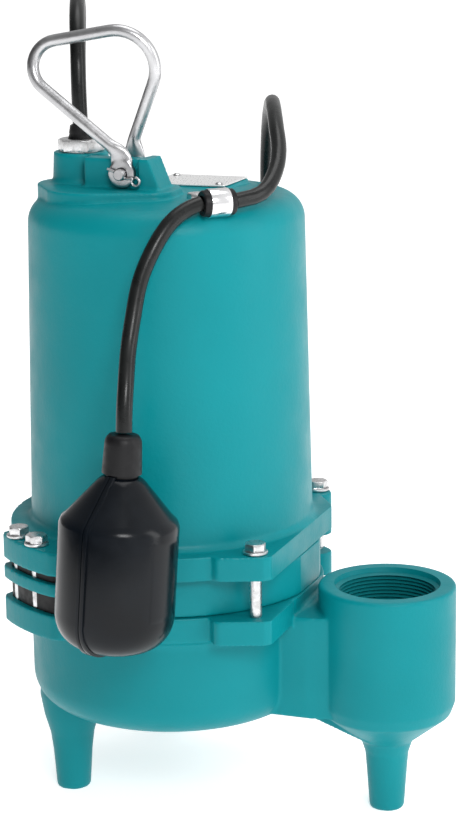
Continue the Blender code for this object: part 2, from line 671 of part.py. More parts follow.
def impeller(axis):
    profile = ((0.0, 0.1235), (0.0140, 0.1235), (0.0150, 0.1220), (0.0570, 0.1220),
               (0.0580, 0.1210), (0.0580, 0.1180), (0.0160, 0.1150), (0.0130, 0.1038),
               (0.0, 0.1038))
    body = turned("impeller", profile, IRON, segments=32, parent=axis)
    vane_count = 6
    for number in range(vane_count):
        start = 360.0 * number / vane_count
        outer = arc((0.0, 0.0), 0.0560, start + 40.0, start + 36.0, 1)
        inner = arc((0.0, 0.0), 0.0140, start + 12.0, start - 12.0, 1)
        middle_out = polar(0.0360, start + 14.0)
        middle_in = polar(0.0360, start + 22.0)
        outline = (inner[1], middle_out, outer[1], outer[0], middle_in, inner[0])
        vane = plate(f"vane_{number + 1}", outline, 0.1042, 0.1200, None, parent=axis)
        merge(body, vane)
    cut(body, cylinder("impeller_bore", 0.0083, 0.100, 0.130, None, 24, parent=axis))


# ---------------------------------------------------------------- fasteners
def bolt(name, angle, shank_bottom):
    """A hexagon bolt with its washer, standing in a flange hole."""
    x, y = polar(BOLT_CIRCLE, angle)
    seat = FLANGE_TOP + GAP
    head = hexagon(name, 0.0064, seat + 0.0010, seat + 0.0061, ZINC, turn=angle,
                   location=(x, y, 0.0))
    washer = cylinder(f"{name}_washer", 0.0072, seat, seat + 0.0016, None, 20,
                      location=(x, y, 0.0))
    shank = cylinder(f"{name}_shank", BOLT_RADIUS, shank_bottom, seat + 0.0030, None, 12,
                     location=(x, y, 0.0))
    merge(head, washer, shank)


def fasteners():
    for number, angle in enumerate(LONG_BOLT_ANGLES, 1):
        bolt(f"casing_bolt_{number}", angle, 0.1205)
    for number, angle in enumerate(PLATE_SCREW_ANGLES, 1):
        bolt(f"plate_screw_{number}", angle, 0.1455)


# ---------------------------------------------------------------- top fittings
def gland():
    nut = hexagon("gland_nut", 0.0140, BOSS_TOP + GAP, 0.3965, ZINC, turn=8.0,
                  location=(*BOSS, 0.0))
    spigot = cylinder("gland_spigot", GLAND_BORE - GAP, 0.3720, BOSS_TOP + 0.002, None, 24,
                      location=(*BOSS, 0.0))
    merge(nut, spigot)
    cut(nut, cylinder("gland_throat", 0.0078, 0.360, 0.405, None, 20, location=(*BOSS, 0.0)))
    profile = ((0.0, EXIT_Z - GAP), (0.0062, EXIT_Z - GAP), (0.0070, 0.4030),
               (0.0074, 0.3900), (0.0074, 0.3740), (0.0, 0.3740))
    turned("gland_bushing", profile, RUBBER, segments=20, location=(*BOSS, 0.0))


def clevis():
    front = 0.0155
    rear = 0.0150
    lie = (math.radians(90), 0, 0)
    pin = cylinder("clevis_pin", PIN_RADIUS, -rear, front, STAINLESS, 16, location=PIN,
                   rotation=lie)
    head = cylinder("clevis_head", 0.0055, -rear - 0.0001, -rear + 0.0025, None, 20,
                    location=PIN, rotation=lie)
    cotter_y = PIN[1] - front + 0.0022
    slope = Vector((0.93, 0.0, -0.37)).normalized()
    drill = cylinder("cotter_hole", 0.0011, -0.010, 0.010, None, 10,
                     location=(PIN[0], cotter_y, PIN[2]),
                     rotation=(0, math.atan2(slope.x, slope.z), 0))
    merge(pin, head)
    cut(pin, drill)
    across = Vector((slope.z, 0.0, -slope.x))
    start = Vector((PIN[0], cotter_y, PIN[2]))
    line = [start - slope * 0.0080, start + slope * 0.0060]
    loop_radius = 0.0024
    centre = start + slope * 0.0105
    for step in range(9):
        angle = math.radians(200.0 - 38.0 * step)
        line.append(centre + slope * (loop_radius * math.cos(angle))
                    + across * (loop_radius * math.sin(angle)))
    rod("cotter_pin", line, 0.0008, STAINLESS, resolution=1)


def handle():
    axis = frame("handle_axis", PIN, ROOT)
    front = (PIN[0], PIN[1] - EYE_OFFSET, PIN[2])
    rear = (PIN[0], PIN[1] + EYE_OFFSET, PIN[2])
    path = relative(bent_line(front, HANDLE_CORNERS, rear), PIN)
    bar = rod("lifting_handle", path, HANDLE_RADIUS, STAINLESS, resolution=2, parent=axis)
    lie = (math.radians(90), 0, 0)
    for side in (-1, 1):
        middle = side * EYE_OFFSET
        place = {"parent": axis, "location": (0.0, middle, 0.0), "rotation": lie}
        half = EYE_THICKNESS / 2.0
        eye = cylinder(f"eye_{side + 2}", EYE_RADIUS, -half, half, None, 24, **place)
        merge(bar, eye)
    for side in (-1, 1):
        inward = side * (EYE_OFFSET - EYE_THICKNESS / 2.0)
        far = side * (EYE_OFFSET + EYE_THICKNESS / 2.0)
        trim_in = box(f"trim_in_{side + 2}", (-0.012, min(0.0, inward), -0.012),
                      (0.012, max(0.0, inward), 0.0105), None, parent=axis)
        trim_out = box(f"trim_out_{side + 2}", (-0.012, min(far, side * 0.02), -0.012),
                       (0.012, max(far, side * 0.02), 0.0085), None, parent=axis)
        cut(bar, trim_in, trim_out)
    cut(bar, cylinder("eye_bore", PIN_RADIUS + 0.0004, -0.02, 0.02, None, 16, parent=axis,
                      rotation=lie))


def nameplate():
    bottom = 0.3695
    thick = 0.0008
    outline = ((-0.0110, -0.0010), (0.0365, -0.0010), (0.0365, 0.0395), (-0.0110, 0.0395))
    sheet = plate("nameplate", outline, bottom, bottom + thick, BRIGHT)
    for number, (x, y) in enumerate(((-0.0065, 0.0340), (0.0315, 0.0045)), 1):
        cut(sheet, cylinder(f"rivet_hole_{number}", 0.0012, 0.36, 0.38, None, 12,
                            location=(x, y, 0.0)))
        face = bottom + thick
        turned(f"nameplate_rivet_{number}",
               ((0.0, face + 0.0014), (0.0014, face + 0.0011), (0.0024, face + 0.0003),
                (0.0009, face + 0.0003), (0.0009, bottom), (0.0, bottom)), ZINC,
               segments=14, location=(x, y, 0.0))


def clamp_screw_place():
    """Plan position of the clamp's screw, inboard of the clamp."""
    along = polar(-0.0030, CLAMP_ANGLE)
    inward = polar(0.0230, CLAMP_ANGLE + 90.0)
    return (CLAMP[0] + along[0] + inward[0], CLAMP[1] + along[1] + inward[1])


def clamp():
    turn = math.radians(CLAMP_ANGLE)
    lie = (0, math.radians(90), turn)
    place = {"location": CLAMP, "rotation": lie}
    half = 0.0095
    ring("clamp_cushion", CORD_RADIUS + 0.0004, CUSHION_RADIUS, -half, half, RUBBER, 28,
         **place)
    band = ring("clamp_band", CUSHION_RADIUS + GAP, BAND_RADIUS, -0.0060, 0.0060, BRIGHT,
                28, **place)
    screw_x, screw_y = clamp_screw_place()
    tab_bottom = 0.3673 - CLAMP[2]
    tab = box("clamp_tab", (-0.0060, 0.0070, tab_bottom), (0.0060, 0.0290, tab_bottom + 0.0012),
              None, location=CLAMP, rotation=(0, 0, turn))
    merge(band, tab)
    inside = cylinder("band_bore", CUSHION_RADIUS + GAP, -0.02, 0.02, None, 28, **place)
    hole = cylinder("tab_hole", 0.0026, 0.355, 0.380, None, 12,
                    location=(screw_x, screw_y, 0.0))
    cut(band, inside, hole)
    head = hexagon("clamp_screw", 0.0058, 0.3688, 0.3722, ZINC, turn=20.0,
                   location=(screw_x, screw_y, 0.0))
    merge(head, cylinder("clamp_screw_shank", 0.0020, 0.3615, 0.3700, None, 10,
                         location=(screw_x, screw_y, 0.0)))


# ---------------------------------------------------------------- float switch
FLOAT_PROFILE_TOP = 0.0250      # top of the straight wall, above the float's middle
FLOAT_LOW = -0.0475             # lowest point of the shell, below the float's middle
FLOAT_DEPTH = 0.0220            # height of the rounded bottom


def float_profile(offset):
    """Turned outline of the float, grown by an offset, from top to bottom."""
    radius = FLOAT_RADIUS + offset
    points = [(0.0, 0.0520 + offset), (0.0118 + offset, 0.0500 + offset)]
    points += [(radius - 0.0020, FLOAT_PROFILE_TOP + 0.0035)]
    points += [(radius, FLOAT_PROFILE_TOP)]
    for step in range(7):
        angle = math.radians(90.0 * step / 6.0)
        points.append((radius * math.cos(angle) ** 0.62,
                       FLOAT_LOW + FLOAT_DEPTH - (FLOAT_DEPTH + offset) * math.sin(angle)))
    return points[:-1] + [(0.0, FLOAT_LOW - offset)]


def float_switch():
    hinge = frame("float_hinge", HINGE, ROOT)
    middle = [a - b for a, b in zip(FLOAT_CENTRE, HINGE)]
    lean = (math.radians(FLOAT_LEAN[0]), math.radians(FLOAT_LEAN[1]), 0.0)
    body = frame("float_axis", middle, hinge, lean)
    spin = (0, 0, math.radians(SEAM_ANGLE))
    wall = 0.0025
    for side, name in ((1, "float_shell_front"), (-1, "float_shell_rear")):
        shell = turned(name, float_profile(0.0), PLASTIC, segments=32, parent=body)
        rib_outline = [(r, z) for r, z in float_profile(0.0012)]
        rib_outline += [(-r, z) for r, z in reversed(rib_outline[1:-1])]
        rib = plate(f"{name}_rib", rib_outline, -0.0030, 0.0030, None, parent=body,
                    rotation=(math.radians(90), 0, math.radians(SEAM_ANGLE)))
        merge(shell, rib)
        hollow = turned(f"{name}_hollow", float_profile(-wall), None, segments=28, parent=body)
        neck = cylinder(f"{name}_neck", 0.0090, 0.030, 0.060, None, 20, parent=body)
        half = box(f"{name}_half", (-0.06, -0.06 if side > 0 else -GAP / 2.0, -0.08),
                   (0.06, GAP / 2.0 if side > 0 else 0.06, 0.08), None, parent=body,
                   rotation=spin)
        cut(shell, hollow, neck, half)
    profile = ((0.0, 0.0746), (0.0085, 0.0746), (0.0103, 0.0728), (0.0108, 0.0530),
               (0.0086, 0.0528), (0.0086, 0.0420), (0.0, 0.0420))
    turned("float_neck_boot", profile, RUBBER, segments=24, parent=body)
    capsule = ((0.0, 0.0300), (0.0110, 0.0300), (0.0130, 0.0280), (0.0130, -0.0250),
               (0.0100, -0.0280), (0.0080, -0.0280), (0.0080, 0.0200), (0.0, 0.0200))
    turned("switch_capsule", capsule, PLASTIC, segments=24, parent=body)
    ball = bpy.data.meshes.new("switch_ball")
    shape = bmesh.new()
    bmesh.ops.create_uvsphere(shape, u_segments=16, v_segments=10, radius=0.0068)
    shape.to_mesh(ball)
    shape.free()
    smooth(add("switch_ball", ball, STAINLESS, parent=body, location=(0.0, 0.0, -0.0190)))
    tether = smooth_route(relative(TETHER_ROUTE, HINGE), 0.0110)
    rod("float_tether", tether, CORD_RADIUS, RUBBER, resolution=2, parent=hinge)


# ---------------------------------------------------------------- free cords and plugs
def coil_profile(grow):
    """Section of a coil's outer shape, as (radius, height) points."""
    inner = COIL_INNER - grow
    outer = COIL_RADIUS + grow
    low = COIL_BOTTOM - grow
    high = COIL_TOP + grow
    corner = 0.004
    return ((inner, high - corner), (inner + corner, high), (outer - corner, high),
            (outer, high - corner), (outer, low + corner), (outer - corner, low),
            (inner + corner, low), (inner, low + corner))


def coil_room(name, centre):
    """An upright cylinder that trims what meets a coil's outer side."""
    return cylinder(name, COIL_RADIUS + GAP, -0.010, 0.060, None, 64, location=(*centre, 0.0))


def coil(name, centre, tie_angle):
    """Outer shape of the round coil that a free cord is wound into, and its tie."""
    turned(f"{name}_coil", coil_profile(0.0), RUBBER, segments=32, closed=True,
           location=(*centre, 0.0))
    x, y = polar((COIL_RADIUS + COIL_INNER) / 2.0, tie_angle)
    half = (COIL_RADIUS - COIL_INNER) / 2.0 + 0.0022
    strap = box(f"{name}_tie", (-half, -0.0050, 0.0001), (half, 0.0050, COIL_TOP + 0.0016),
                PLASTIC, location=(centre[0] + x, centre[1] + y, 0.0),
                rotation=(0, 0, math.radians(tie_angle)))
    room = turned(f"{name}_tie_room", coil_profile(GAP), None, segments=72, closed=True,
                  location=(*centre, 0.0))
    cut(strap, room)


def plug(name, centre, tail_angle, turning, half_width, body_length):
    """A moulded plug on the floor, at the end of a cord that leaves its coil."""
    x, y = polar(COIL_TURN_RADIUS, tail_angle)
    heading = math.radians(tail_angle + 90.0 * turning)
    origin = (centre[0] + x, centre[1] + y, 0.0)
    place = {"location": origin, "rotation": (0, 0, heading)}
    start = 0.052
    end = start + body_length
    half_height = 0.0112
    body = box(f"{name}_body", (start, -half_width, PLUG_Z - half_height),
               (end, half_width, PLUG_Z + half_height), RUBBER, **place)
    edge = body.modifiers.new("edge", "BEVEL")
    edge.width = 0.004
    edge.segments = 2
    line = smooth_route(((0.0, 0.0, 0.0146), (0.016, 0.0, 0.0138), (0.034, 0.0, PLUG_Z),
                         (start + 0.008, 0.0, PLUG_Z)), 0.008)
    boot = rod(f"{name}_boot", line, 0.0062, None, resolution=2, **place)
    merge(body, boot)
    cut(body, coil_room(f"{name}_room", centre))
    face = end + GAP
    for number, side in ((1, -1), (2, 1)):
        middle = side * 0.00635
        box(f"{name}_blade_{number}", (face, middle - 0.0008, PLUG_Z + 0.0005),
            (face + 0.0170, middle + 0.0008, PLUG_Z + 0.0068), BRASS, **place)
    cylinder(f"{name}_ground_pin", 0.0024, 0.0, 0.0190, BRASS, 14,
             location=(origin[0] + face * math.cos(heading),
                       origin[1] + face * math.sin(heading), PLUG_Z - 0.0060),
             rotation=(0, math.radians(90), heading))


def free_cords():
    for name, route, centre in (("power_cord", POWER_ROUTE, COIL_POWER),
                                ("float_cord", FLOAT_ROUTE, COIL_FLOAT)):
        line = rod(name, smooth_route(route, 0.0120), CORD_RADIUS, RUBBER, resolution=2)
        cut(line, coil_room(f"{name}_room", centre))
    coil("power_cord", COIL_POWER, 60.0)
    coil("float_cord", COIL_FLOAT, 200.0)
    plug("power_plug", COIL_POWER, TAIL_POWER, -1, 0.0125, 0.034)
    plug("piggyback_plug", COIL_FLOAT, TAIL_FLOAT, 1, 0.0135, 0.040)


casings()
motor()
rotor(frame("rotor_axis", (0.0, 0.0, 0.0), ROOT))
fasteners()
gland()
clevis()
handle()
nameplate()
clamp()
float_switch()
free_cords()
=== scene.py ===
"""Looks of the submersible sump pump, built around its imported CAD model.

Lengths are in metres. Positions in tables are in the pump's own frame, with the motor axis
at x = y = 0, and AXIS moves them into the row frame.
"""
import math

import bmesh
import bpy
import numpy as np
from mathutils import Euler, Matrix, Vector


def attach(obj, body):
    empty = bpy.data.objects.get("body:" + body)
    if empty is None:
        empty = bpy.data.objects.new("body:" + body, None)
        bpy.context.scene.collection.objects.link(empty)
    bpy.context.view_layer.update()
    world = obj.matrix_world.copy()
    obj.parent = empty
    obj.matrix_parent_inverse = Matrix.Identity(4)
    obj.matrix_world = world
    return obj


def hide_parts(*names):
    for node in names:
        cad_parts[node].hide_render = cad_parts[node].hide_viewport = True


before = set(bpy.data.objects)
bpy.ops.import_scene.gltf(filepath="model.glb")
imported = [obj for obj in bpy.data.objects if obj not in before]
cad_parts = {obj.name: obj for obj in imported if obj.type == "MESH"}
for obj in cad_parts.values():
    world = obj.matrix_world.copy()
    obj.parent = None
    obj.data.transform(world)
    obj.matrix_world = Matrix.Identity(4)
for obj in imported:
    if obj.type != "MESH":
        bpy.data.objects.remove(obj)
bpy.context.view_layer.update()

AXIS = Vector((-0.0393, 0.0341, 0.0))
SHIFT = Matrix.Translation(AXIS)
UPRIGHT = Matrix.Rotation(math.pi / 2.0, 4, "X")

# Camera: 22 degrees round from the front, looking a little down.
VIEW_TURN = math.radians(22.0)
CAMERA_BACK = 1.3754
CAMERA_HEIGHT = 0.5634
CAMERA_PITCH = 0.2353
CAMERA_ROLL = -0.0137
CAMERA_YAW = 0.0263
CAMERA_LENS = 103.99
LIGHT_AIM = (0.0, 0.0, 0.22)
FLOOR_HALF = 40.0

# Castings
CROWN_Z = 0.3690
SHOULDER_Z = 0.3500
SHOULDER_RADIUS = 0.0150
TOP_RADIUS = 0.0810
BASE_RADIUS = 0.0845
FLANGE_RADIUS = 0.0970
FLANGE_TOP = 0.1710
FLANGE_BOTTOM = 0.1570
FLAT_X = 0.0873
EAR_RADIUS = 0.1070
BOLT_CIRCLE = 0.1005
LONG_BOLTS = (-131.2, -40.4, 47.5, 139.6)
PLATE_SCREWS = (-119.4, 59.3)
PLATE_TOP = 0.1567
VOLUTE_TOP = 0.1332
VOLUTE_FLANGE_BOTTOM = 0.1185
DISCHARGE_X = 0.1350
DISCHARGE_TOP = 0.1395
LEGS = ((-0.0571, -0.0290), (-0.0360, 0.0840))
BOSS = (-0.0490, -0.0100)
BOSS_TOP = 0.3890
PIN = (-0.0116, -0.0280, 0.3805)
EYE_OFFSET = 0.0092
PIN_HOLE = 0.0038
ROD_RADIUS = 0.0036
ROD_SPACING = 0.0022
CLAMP = (0.0539, -0.0576, 0.3694)
CLAMP_ANGLE = 43.2

# Float switch and cords
FLOAT_CENTRE = Vector((0.0204, -0.1331, 0.1780))
FLOAT_RADIUS = 0.0332
FLOAT_LEAN = Euler((math.radians(-3.0), math.radians(3.3), 0.0))
SEAM_ANGLE = 78.0
CORD_DIAMETER = 0.0090
COIL_POWER = (-0.1000, 0.1900)
COIL_FLOAT = (0.0300, 0.2420)
COIL_OUTER_LINE = 0.0630
COIL_INNER_LINE = 0.0360
LAYER_LOW = 0.0062
LAYER_HIGH = 0.0146
PLUG_Z = 0.0122

# The cord beyond its coil, as distance along the floor and height
TAIL = ((0.008, 0.0143), (0.016, 0.0138), (0.026, 0.0129), (0.036, 0.0123), (0.046, PLUG_Z),
        (0.0540, PLUG_Z))

# Points of the cords, as in the CAD model. The power cord and the tether keep close to a path
# that was computed, and the float cord keeps to one in part.
POWER_ROUTE = (
    (-0.049, -0.010, 0.405), (-0.049, -0.010, 0.414), (-0.050, -0.009, 0.430),
    (-0.052, -0.004, 0.448), (-0.057, 0.007, 0.463), (-0.064, 0.024, 0.472),
    (-0.072, 0.043, 0.472), (-0.080, 0.062, 0.462), (-0.087, 0.076, 0.445),
    (-0.091, 0.084, 0.422), (-0.092, 0.086, 0.380), (-0.092, 0.086, 0.320),
    (-0.092, 0.086, 0.250), (-0.092, 0.086, 0.180), (-0.092, 0.086, 0.120),
    (-0.094, 0.087, 0.080), (-0.100, 0.092, 0.048), (-0.112, 0.103, 0.022),
    (-0.127, 0.118, 0.009), (-0.142, 0.136, 0.006), (-0.152, 0.151, 0.006),
    (-0.1584, 0.1664, 0.0062),
)
FLOAT_ROUTE = (
    (0.061, -0.051, 0.3694), (0.067, -0.044, 0.370), (0.0715, -0.035, 0.372),
    (0.0735, -0.025, 0.377), (0.0735, -0.014, 0.384), (0.071, -0.003, 0.391),
    (0.066, 0.009, 0.399), (0.060, 0.023, 0.406), (0.053, 0.040, 0.411),
    (0.046, 0.058, 0.4125), (0.039, 0.076, 0.410), (0.031, 0.095, 0.402),
    (0.025, 0.109, 0.388), (0.021, 0.118, 0.367), (0.0195, 0.122, 0.340),
    (0.019, 0.123, 0.300), (0.019, 0.123, 0.240), (0.019, 0.123, 0.180),
    (0.019, 0.123, 0.120), (0.020, 0.124, 0.080), (0.025, 0.129, 0.048),
    (0.036, 0.142, 0.021), (0.051, 0.160, 0.008), (0.066, 0.181, 0.006),
    (0.080, 0.201, 0.006), (0.088, 0.217, 0.006), (0.0920, 0.2311, 0.0062),
)
TETHER_ROUTE = (
    (0.0465, -0.0643, 0.3694), (0.041, -0.070, 0.367), (0.034, -0.080, 0.360),
    (0.028, -0.090, 0.347), (0.023, -0.097, 0.331), (0.021, -0.103, 0.313),
    (0.021, -0.111, 0.296), (0.0235, -0.1215, 0.280), (0.0246, -0.1272, 0.266),
    (0.0248, -0.1290, 0.2534),
)

# Corners of the bent handle rod and their bend radii, from its front leg to its rear leg.
HANDLE_CORNERS = (
    ((-0.0116, -0.0372, 0.3910), 0.012), ((-0.0875, -0.0360, 0.4490), 0.015),
    ((0.0175, -0.0250, 0.4670), 0.022), ((-0.0116, -0.0188, 0.3980), 0.012),
)


# ---------------------------------------------------------------- camera and light
def camera():
    turn = Matrix.Rotation(VIEW_TURN, 3, "Z")
    look = turn @ Vector((math.sin(CAMERA_YAW) * math.cos(CAMERA_PITCH),
                          math.cos(CAMERA_YAW) * math.cos(CAMERA_PITCH),
                          -math.sin(CAMERA_PITCH)))
    right = turn @ Vector((math.cos(CAMERA_YAW), -math.sin(CAMERA_YAW), 0.0))
    up = right.cross(look)
    rolled_right = right * math.cos(CAMERA_ROLL) + up * math.sin(CAMERA_ROLL)
    rolled_up = up * math.cos(CAMERA_ROLL) - right * math.sin(CAMERA_ROLL)
    data = bpy.data.cameras.new("camera")
    data.lens = CAMERA_LENS
    data.sensor_width = 36.0
    data.sensor_fit = "AUTO"
    data.clip_start = 0.01
    obj = bpy.data.objects.new("camera", data)
    pose = Matrix((rolled_right, rolled_up, -look)).transposed().to_4x4()
    place = turn @ Vector((0.0, -CAMERA_BACK, CAMERA_HEIGHT))
    pose.translation = place + AXIS
    obj.matrix_world = pose
    bpy.context.scene.collection.objects.link(obj)
    bpy.context.scene.camera = obj


def area_light(name, place, size, power, size_y=None):
    data = bpy.data.lights.new(name, "AREA")
    data.shape = "RECTANGLE"
    data.size = size
    data.size_y = size_y or size
    data.energy = power
    obj = bpy.data.objects.new(name, data)
    where = Matrix.Rotation(VIEW_TURN, 3, "Z") @ Vector(place)
    obj.location = where
    obj.rotation_euler = (Vector(LIGHT_AIM) - where).to_track_quat("-Z", "Y").to_euler()
    bpy.context.scene.collection.objects.link(obj)


def studio():
    """A white room, darker to the left, with a key light from the front and right."""
    world = bpy.data.worlds.new("studio")
    bpy.context.scene.world = world
    world.use_nodes = True
    tree = world.node_tree
    background = tree.nodes["Background"]
    source = tree.nodes.new("ShaderNodeTexCoord")
    turn = tree.nodes.new("ShaderNodeMapping")
    turn.inputs["Rotation"].default_value = (0.0, 0.0, -VIEW_TURN)
    split = tree.nodes.new("ShaderNodeSeparateXYZ")
    span = tree.nodes.new("ShaderNodeMapRange")
    span.inputs["From Min"].default_value = -1.0
    span.inputs["From Max"].default_value = 0.6
    span.inputs["To Min"].default_value = 0.03
    span.inputs["To Max"].default_value = 0.90
    tree.links.new(source.outputs["Generated"], turn.inputs["Vector"])
    tree.links.new(turn.outputs["Vector"], split.inputs["Vector"])
    tree.links.new(split.outputs["X"], span.inputs["Value"])
    tree.links.new(span.outputs["Result"], background.inputs["Strength"])
    background.inputs["Color"].default_value = (1.0, 1.0, 1.0, 1.0)
    bpy.context.scene.view_settings.view_transform = "Standard"
    area_light("key", (0.35, -1.7, 1.3), 0.6, 17.0)
    area_light("side", (1.6, -0.5, 0.8), 0.5, 7.0, size_y=1.4)
    area_light("top", (0.2, 0.3, 2.2), 1.2, 12.0)


# ---------------------------------------------------------------- materials
def shader(name, colour, roughness, metallic=0.0, **extra):
    mat = bpy.data.materials.new(name)
    mat.use_nodes = True
    node = mat.node_tree.nodes["Principled BSDF"]
    node.inputs["Base Color"].default_value = (*colour, 1.0)
    node.inputs["Roughness"].default_value = roughness
    node.inputs["Metallic"].default_value = metallic
    for key, value in extra.items():
        node.inputs[key.replace("_", " ")].default_value = value
    return mat


def node(mat, kind, **values):
    made = mat.node_tree.nodes.new(kind)
    for key, value in values.items():
        socket = made.inputs.get(key.replace("_", " "))
        if socket is not None:
            socket.default_value = value
        else:
            setattr(made, key, value)
    return made


def link(mat, a, out, b, into):
    mat.node_tree.links.new(a.outputs[out], b.inputs[into])


def coordinates(mat, stretch=(1.0, 1.0, 1.0)):
    source = node(mat, "ShaderNodeTexCoord")
    mapping = node(mat, "ShaderNodeMapping")
    mapping.inputs["Scale"].default_value = stretch
    link(mat, source, "Object", mapping, "Vector")
    return mapping


def tint(mat, first, second, scale, detail=3.0, low=0.35, high=0.65, stretch=(1, 1, 1)):
    """Vary the base colour between two tones."""
    place = coordinates(mat, stretch)
    noise = node(mat, "ShaderNodeTexNoise", Scale=scale, Detail=detail)
    ramp = node(mat, "ShaderNodeValToRGB")
    ramp.color_ramp.elements[0].position = low
    ramp.color_ramp.elements[0].color = (*first, 1.0)
    ramp.color_ramp.elements[1].position = high
    ramp.color_ramp.elements[1].color = (*second, 1.0)
    link(mat, place, "Vector", noise, "Vector")
    link(mat, noise, "Fac", ramp, "Fac")
    link(mat, ramp, "Color", mat.node_tree.nodes["Principled BSDF"], "Base Color")


def rough(mat, low, high, scale, stretch=(1, 1, 1)):
    """Vary the roughness between two values."""
    place = coordinates(mat, stretch)
    noise = node(mat, "ShaderNodeTexNoise", Scale=scale, Detail=4.0)
    span = node(mat, "ShaderNodeMapRange")
    span.inputs["From Min"].default_value = 0.3
    span.inputs["From Max"].default_value = 0.7
    span.inputs["To Min"].default_value = low
    span.inputs["To Max"].default_value = high
    link(mat, place, "Vector", noise, "Vector")
    link(mat, noise, "Fac", span, "Value")
    link(mat, span, "Result", mat.node_tree.nodes["Principled BSDF"], "Roughness")


def relief(mat, layers, stretch=(1, 1, 1)):
    """Add bump from noise layers of (scale, strength, distance)."""
    place = coordinates(mat, stretch)
    previous = None
    for scale, strength, distance in layers:
        noise = node(mat, "ShaderNodeTexNoise", Scale=scale, Detail=3.0, Roughness=0.6)
        bump = node(mat, "ShaderNodeBump", Strength=strength, Distance=distance)
        link(mat, place, "Vector", noise, "Vector")
        link(mat, noise, "Fac", bump, "Height")
        if previous:
            link(mat, previous, "Normal", bump, "Normal")
        previous = bump
    link(mat, previous, "Normal", mat.node_tree.nodes["Principled BSDF"], "Normal")


def bands(mat, scale, strength, distance):
    """Add fine ridges across one direction."""
    place = coordinates(mat)
    wave = node(mat, "ShaderNodeTexWave", Scale=scale, Distortion=0.3)
    wave.bands_direction = "Z"
    bump = node(mat, "ShaderNodeBump", Strength=strength, Distance=distance)
    link(mat, place, "Vector", wave, "Vector")
    link(mat, wave, "Fac", bump, "Height")
    link(mat, bump, "Normal", mat.node_tree.nodes["Principled BSDF"], "Normal")


def enamel(name, dark, light):
    """Semi-gloss paint over the grain of a sand casting."""
    mat = shader(name, light, 0.38, Specular_IOR_Level=0.16)
    tint(mat, dark, light, 9.0, 5.0, 0.30, 0.62)
    rough(mat, 0.33, 0.46, 60.0)
    relief(mat, ((95.0, 0.20, 0.0006), (420.0, 0.34, 0.00035), (1150.0, 0.22, 0.00015)))
    return mat


PAINT = enamel("teal_enamel", (0.0005, 0.205, 0.232), (0.0008, 0.235, 0.265))
# A darker copy of the teal enamel: painted shade for the thread inside the discharge port.
PAINT_SHADED_INSIDE = enamel("teal_enamel_painted_shade", (0.003, 0.150, 0.168), (0.004, 0.185, 0.205))

ZINC = shader("zinc_steel", (0.66, 0.66, 0.67), 0.30, 1.0)
tint(ZINC, (0.50, 0.50, 0.50), (0.72, 0.72, 0.73), 260.0)
rough(ZINC, 0.22, 0.42, 500.0)
relief(ZINC, ((700.0, 0.04, 0.0001),))

STAINLESS = shader("brushed_stainless", (0.50, 0.50, 0.51), 0.30, 1.0)
tint(STAINLESS, (0.46, 0.46, 0.47), (0.58, 0.58, 0.59), 60.0)
rough(STAINLESS, 0.26, 0.36, 300.0)
relief(STAINLESS, ((500.0, 0.03, 0.0001),))

BRIGHT = shader("polished_strip", (0.86, 0.86, 0.87), 0.14, 1.0)
rough(BRIGHT, 0.10, 0.22, 300.0)
relief(BRIGHT, ((500.0, 0.05, 0.0001),))

PLATE = shader("bright_sheet", (0.90, 0.90, 0.90), 0.30, 0.55)
rough(PLATE, 0.24, 0.38, 240.0, (12, 1, 1))
relief(PLATE, ((900.0, 0.06, 0.0001),), (12, 1, 1))

RUBBER = shader("black_rubber", (0.006, 0.006, 0.007), 0.42, Specular_IOR_Level=0.25)
tint(RUBBER, (0.004, 0.004, 0.005), (0.009, 0.009, 0.010), 120.0)
rough(RUBBER, 0.36, 0.55, 300.0)
relief(RUBBER, ((800.0, 0.10, 0.0002),))

JACKET = shader("cord_jacket", (0.006, 0.007, 0.007), 0.30, Specular_IOR_Level=0.30)
tint(JACKET, (0.004, 0.005, 0.005), (0.009, 0.010, 0.010), 80.0)
rough(JACKET, 0.24, 0.36, 200.0)
relief(JACKET, ((500.0, 0.06, 0.0002),))

PLASTIC = shader("black_moulded_plastic", (0.002, 0.003, 0.005), 0.20, Specular_IOR_Level=0.22)
tint(PLASTIC, (0.0015, 0.0025, 0.004), (0.003, 0.005, 0.008), 30.0)
rough(PLASTIC, 0.16, 0.26, 120.0)
relief(PLASTIC, ((1100.0, 0.12, 0.00015),))

COPPER = shader("varnished_copper", (0.50, 0.18, 0.07), 0.34, 0.9, Coat_Weight=0.4)
bands(COPPER, 420.0, 0.6, 0.0004)
LAMINATE = shader("lamination_steel", (0.30, 0.30, 0.31), 0.42, 1.0)
bands(LAMINATE, 320.0, 0.5, 0.0003)
BEARING = shader("ground_steel", (0.66, 0.66, 0.68), 0.18, 1.0)
rough(BEARING, 0.12, 0.26, 400.0, (1, 1, 10))
CERAMIC = shader("lapped_ceramic", (0.82, 0.80, 0.74), 0.16)
relief(CERAMIC, ((900.0, 0.03, 0.0001),))
IRON = shader("bare_cast_iron", (0.09, 0.09, 0.09), 0.58, 0.7)
tint(IRON, (0.05, 0.05, 0.05), (0.13, 0.12, 0.11), 60.0)
relief(IRON, ((420.0, 0.4, 0.0005),))
CAPACITOR = shader("capacitor_can", (0.05, 0.05, 0.06), 0.40)
relief(CAPACITOR, ((600.0, 0.1, 0.0002),))
BRASS = shader("plug_brass", (0.72, 0.53, 0.24), 0.24, 1.0)
rough(BRASS, 0.18, 0.34, 350.0, (1, 1, 8))
relief(BRASS, ((700.0, 0.06, 0.0001),))


# ---------------------------------------------------------------- shapes
def polar(radius, angle):
    return (radius * math.cos(math.radians(angle)), radius * math.sin(math.radians(angle)))


def arc(centre, radius, start, end, steps):
    points = []
    for step in range(steps + 1):
        x, y = polar(radius, start + (end - start) * step / steps)
        points.append((centre[0] + x, centre[1] + y))
    return points


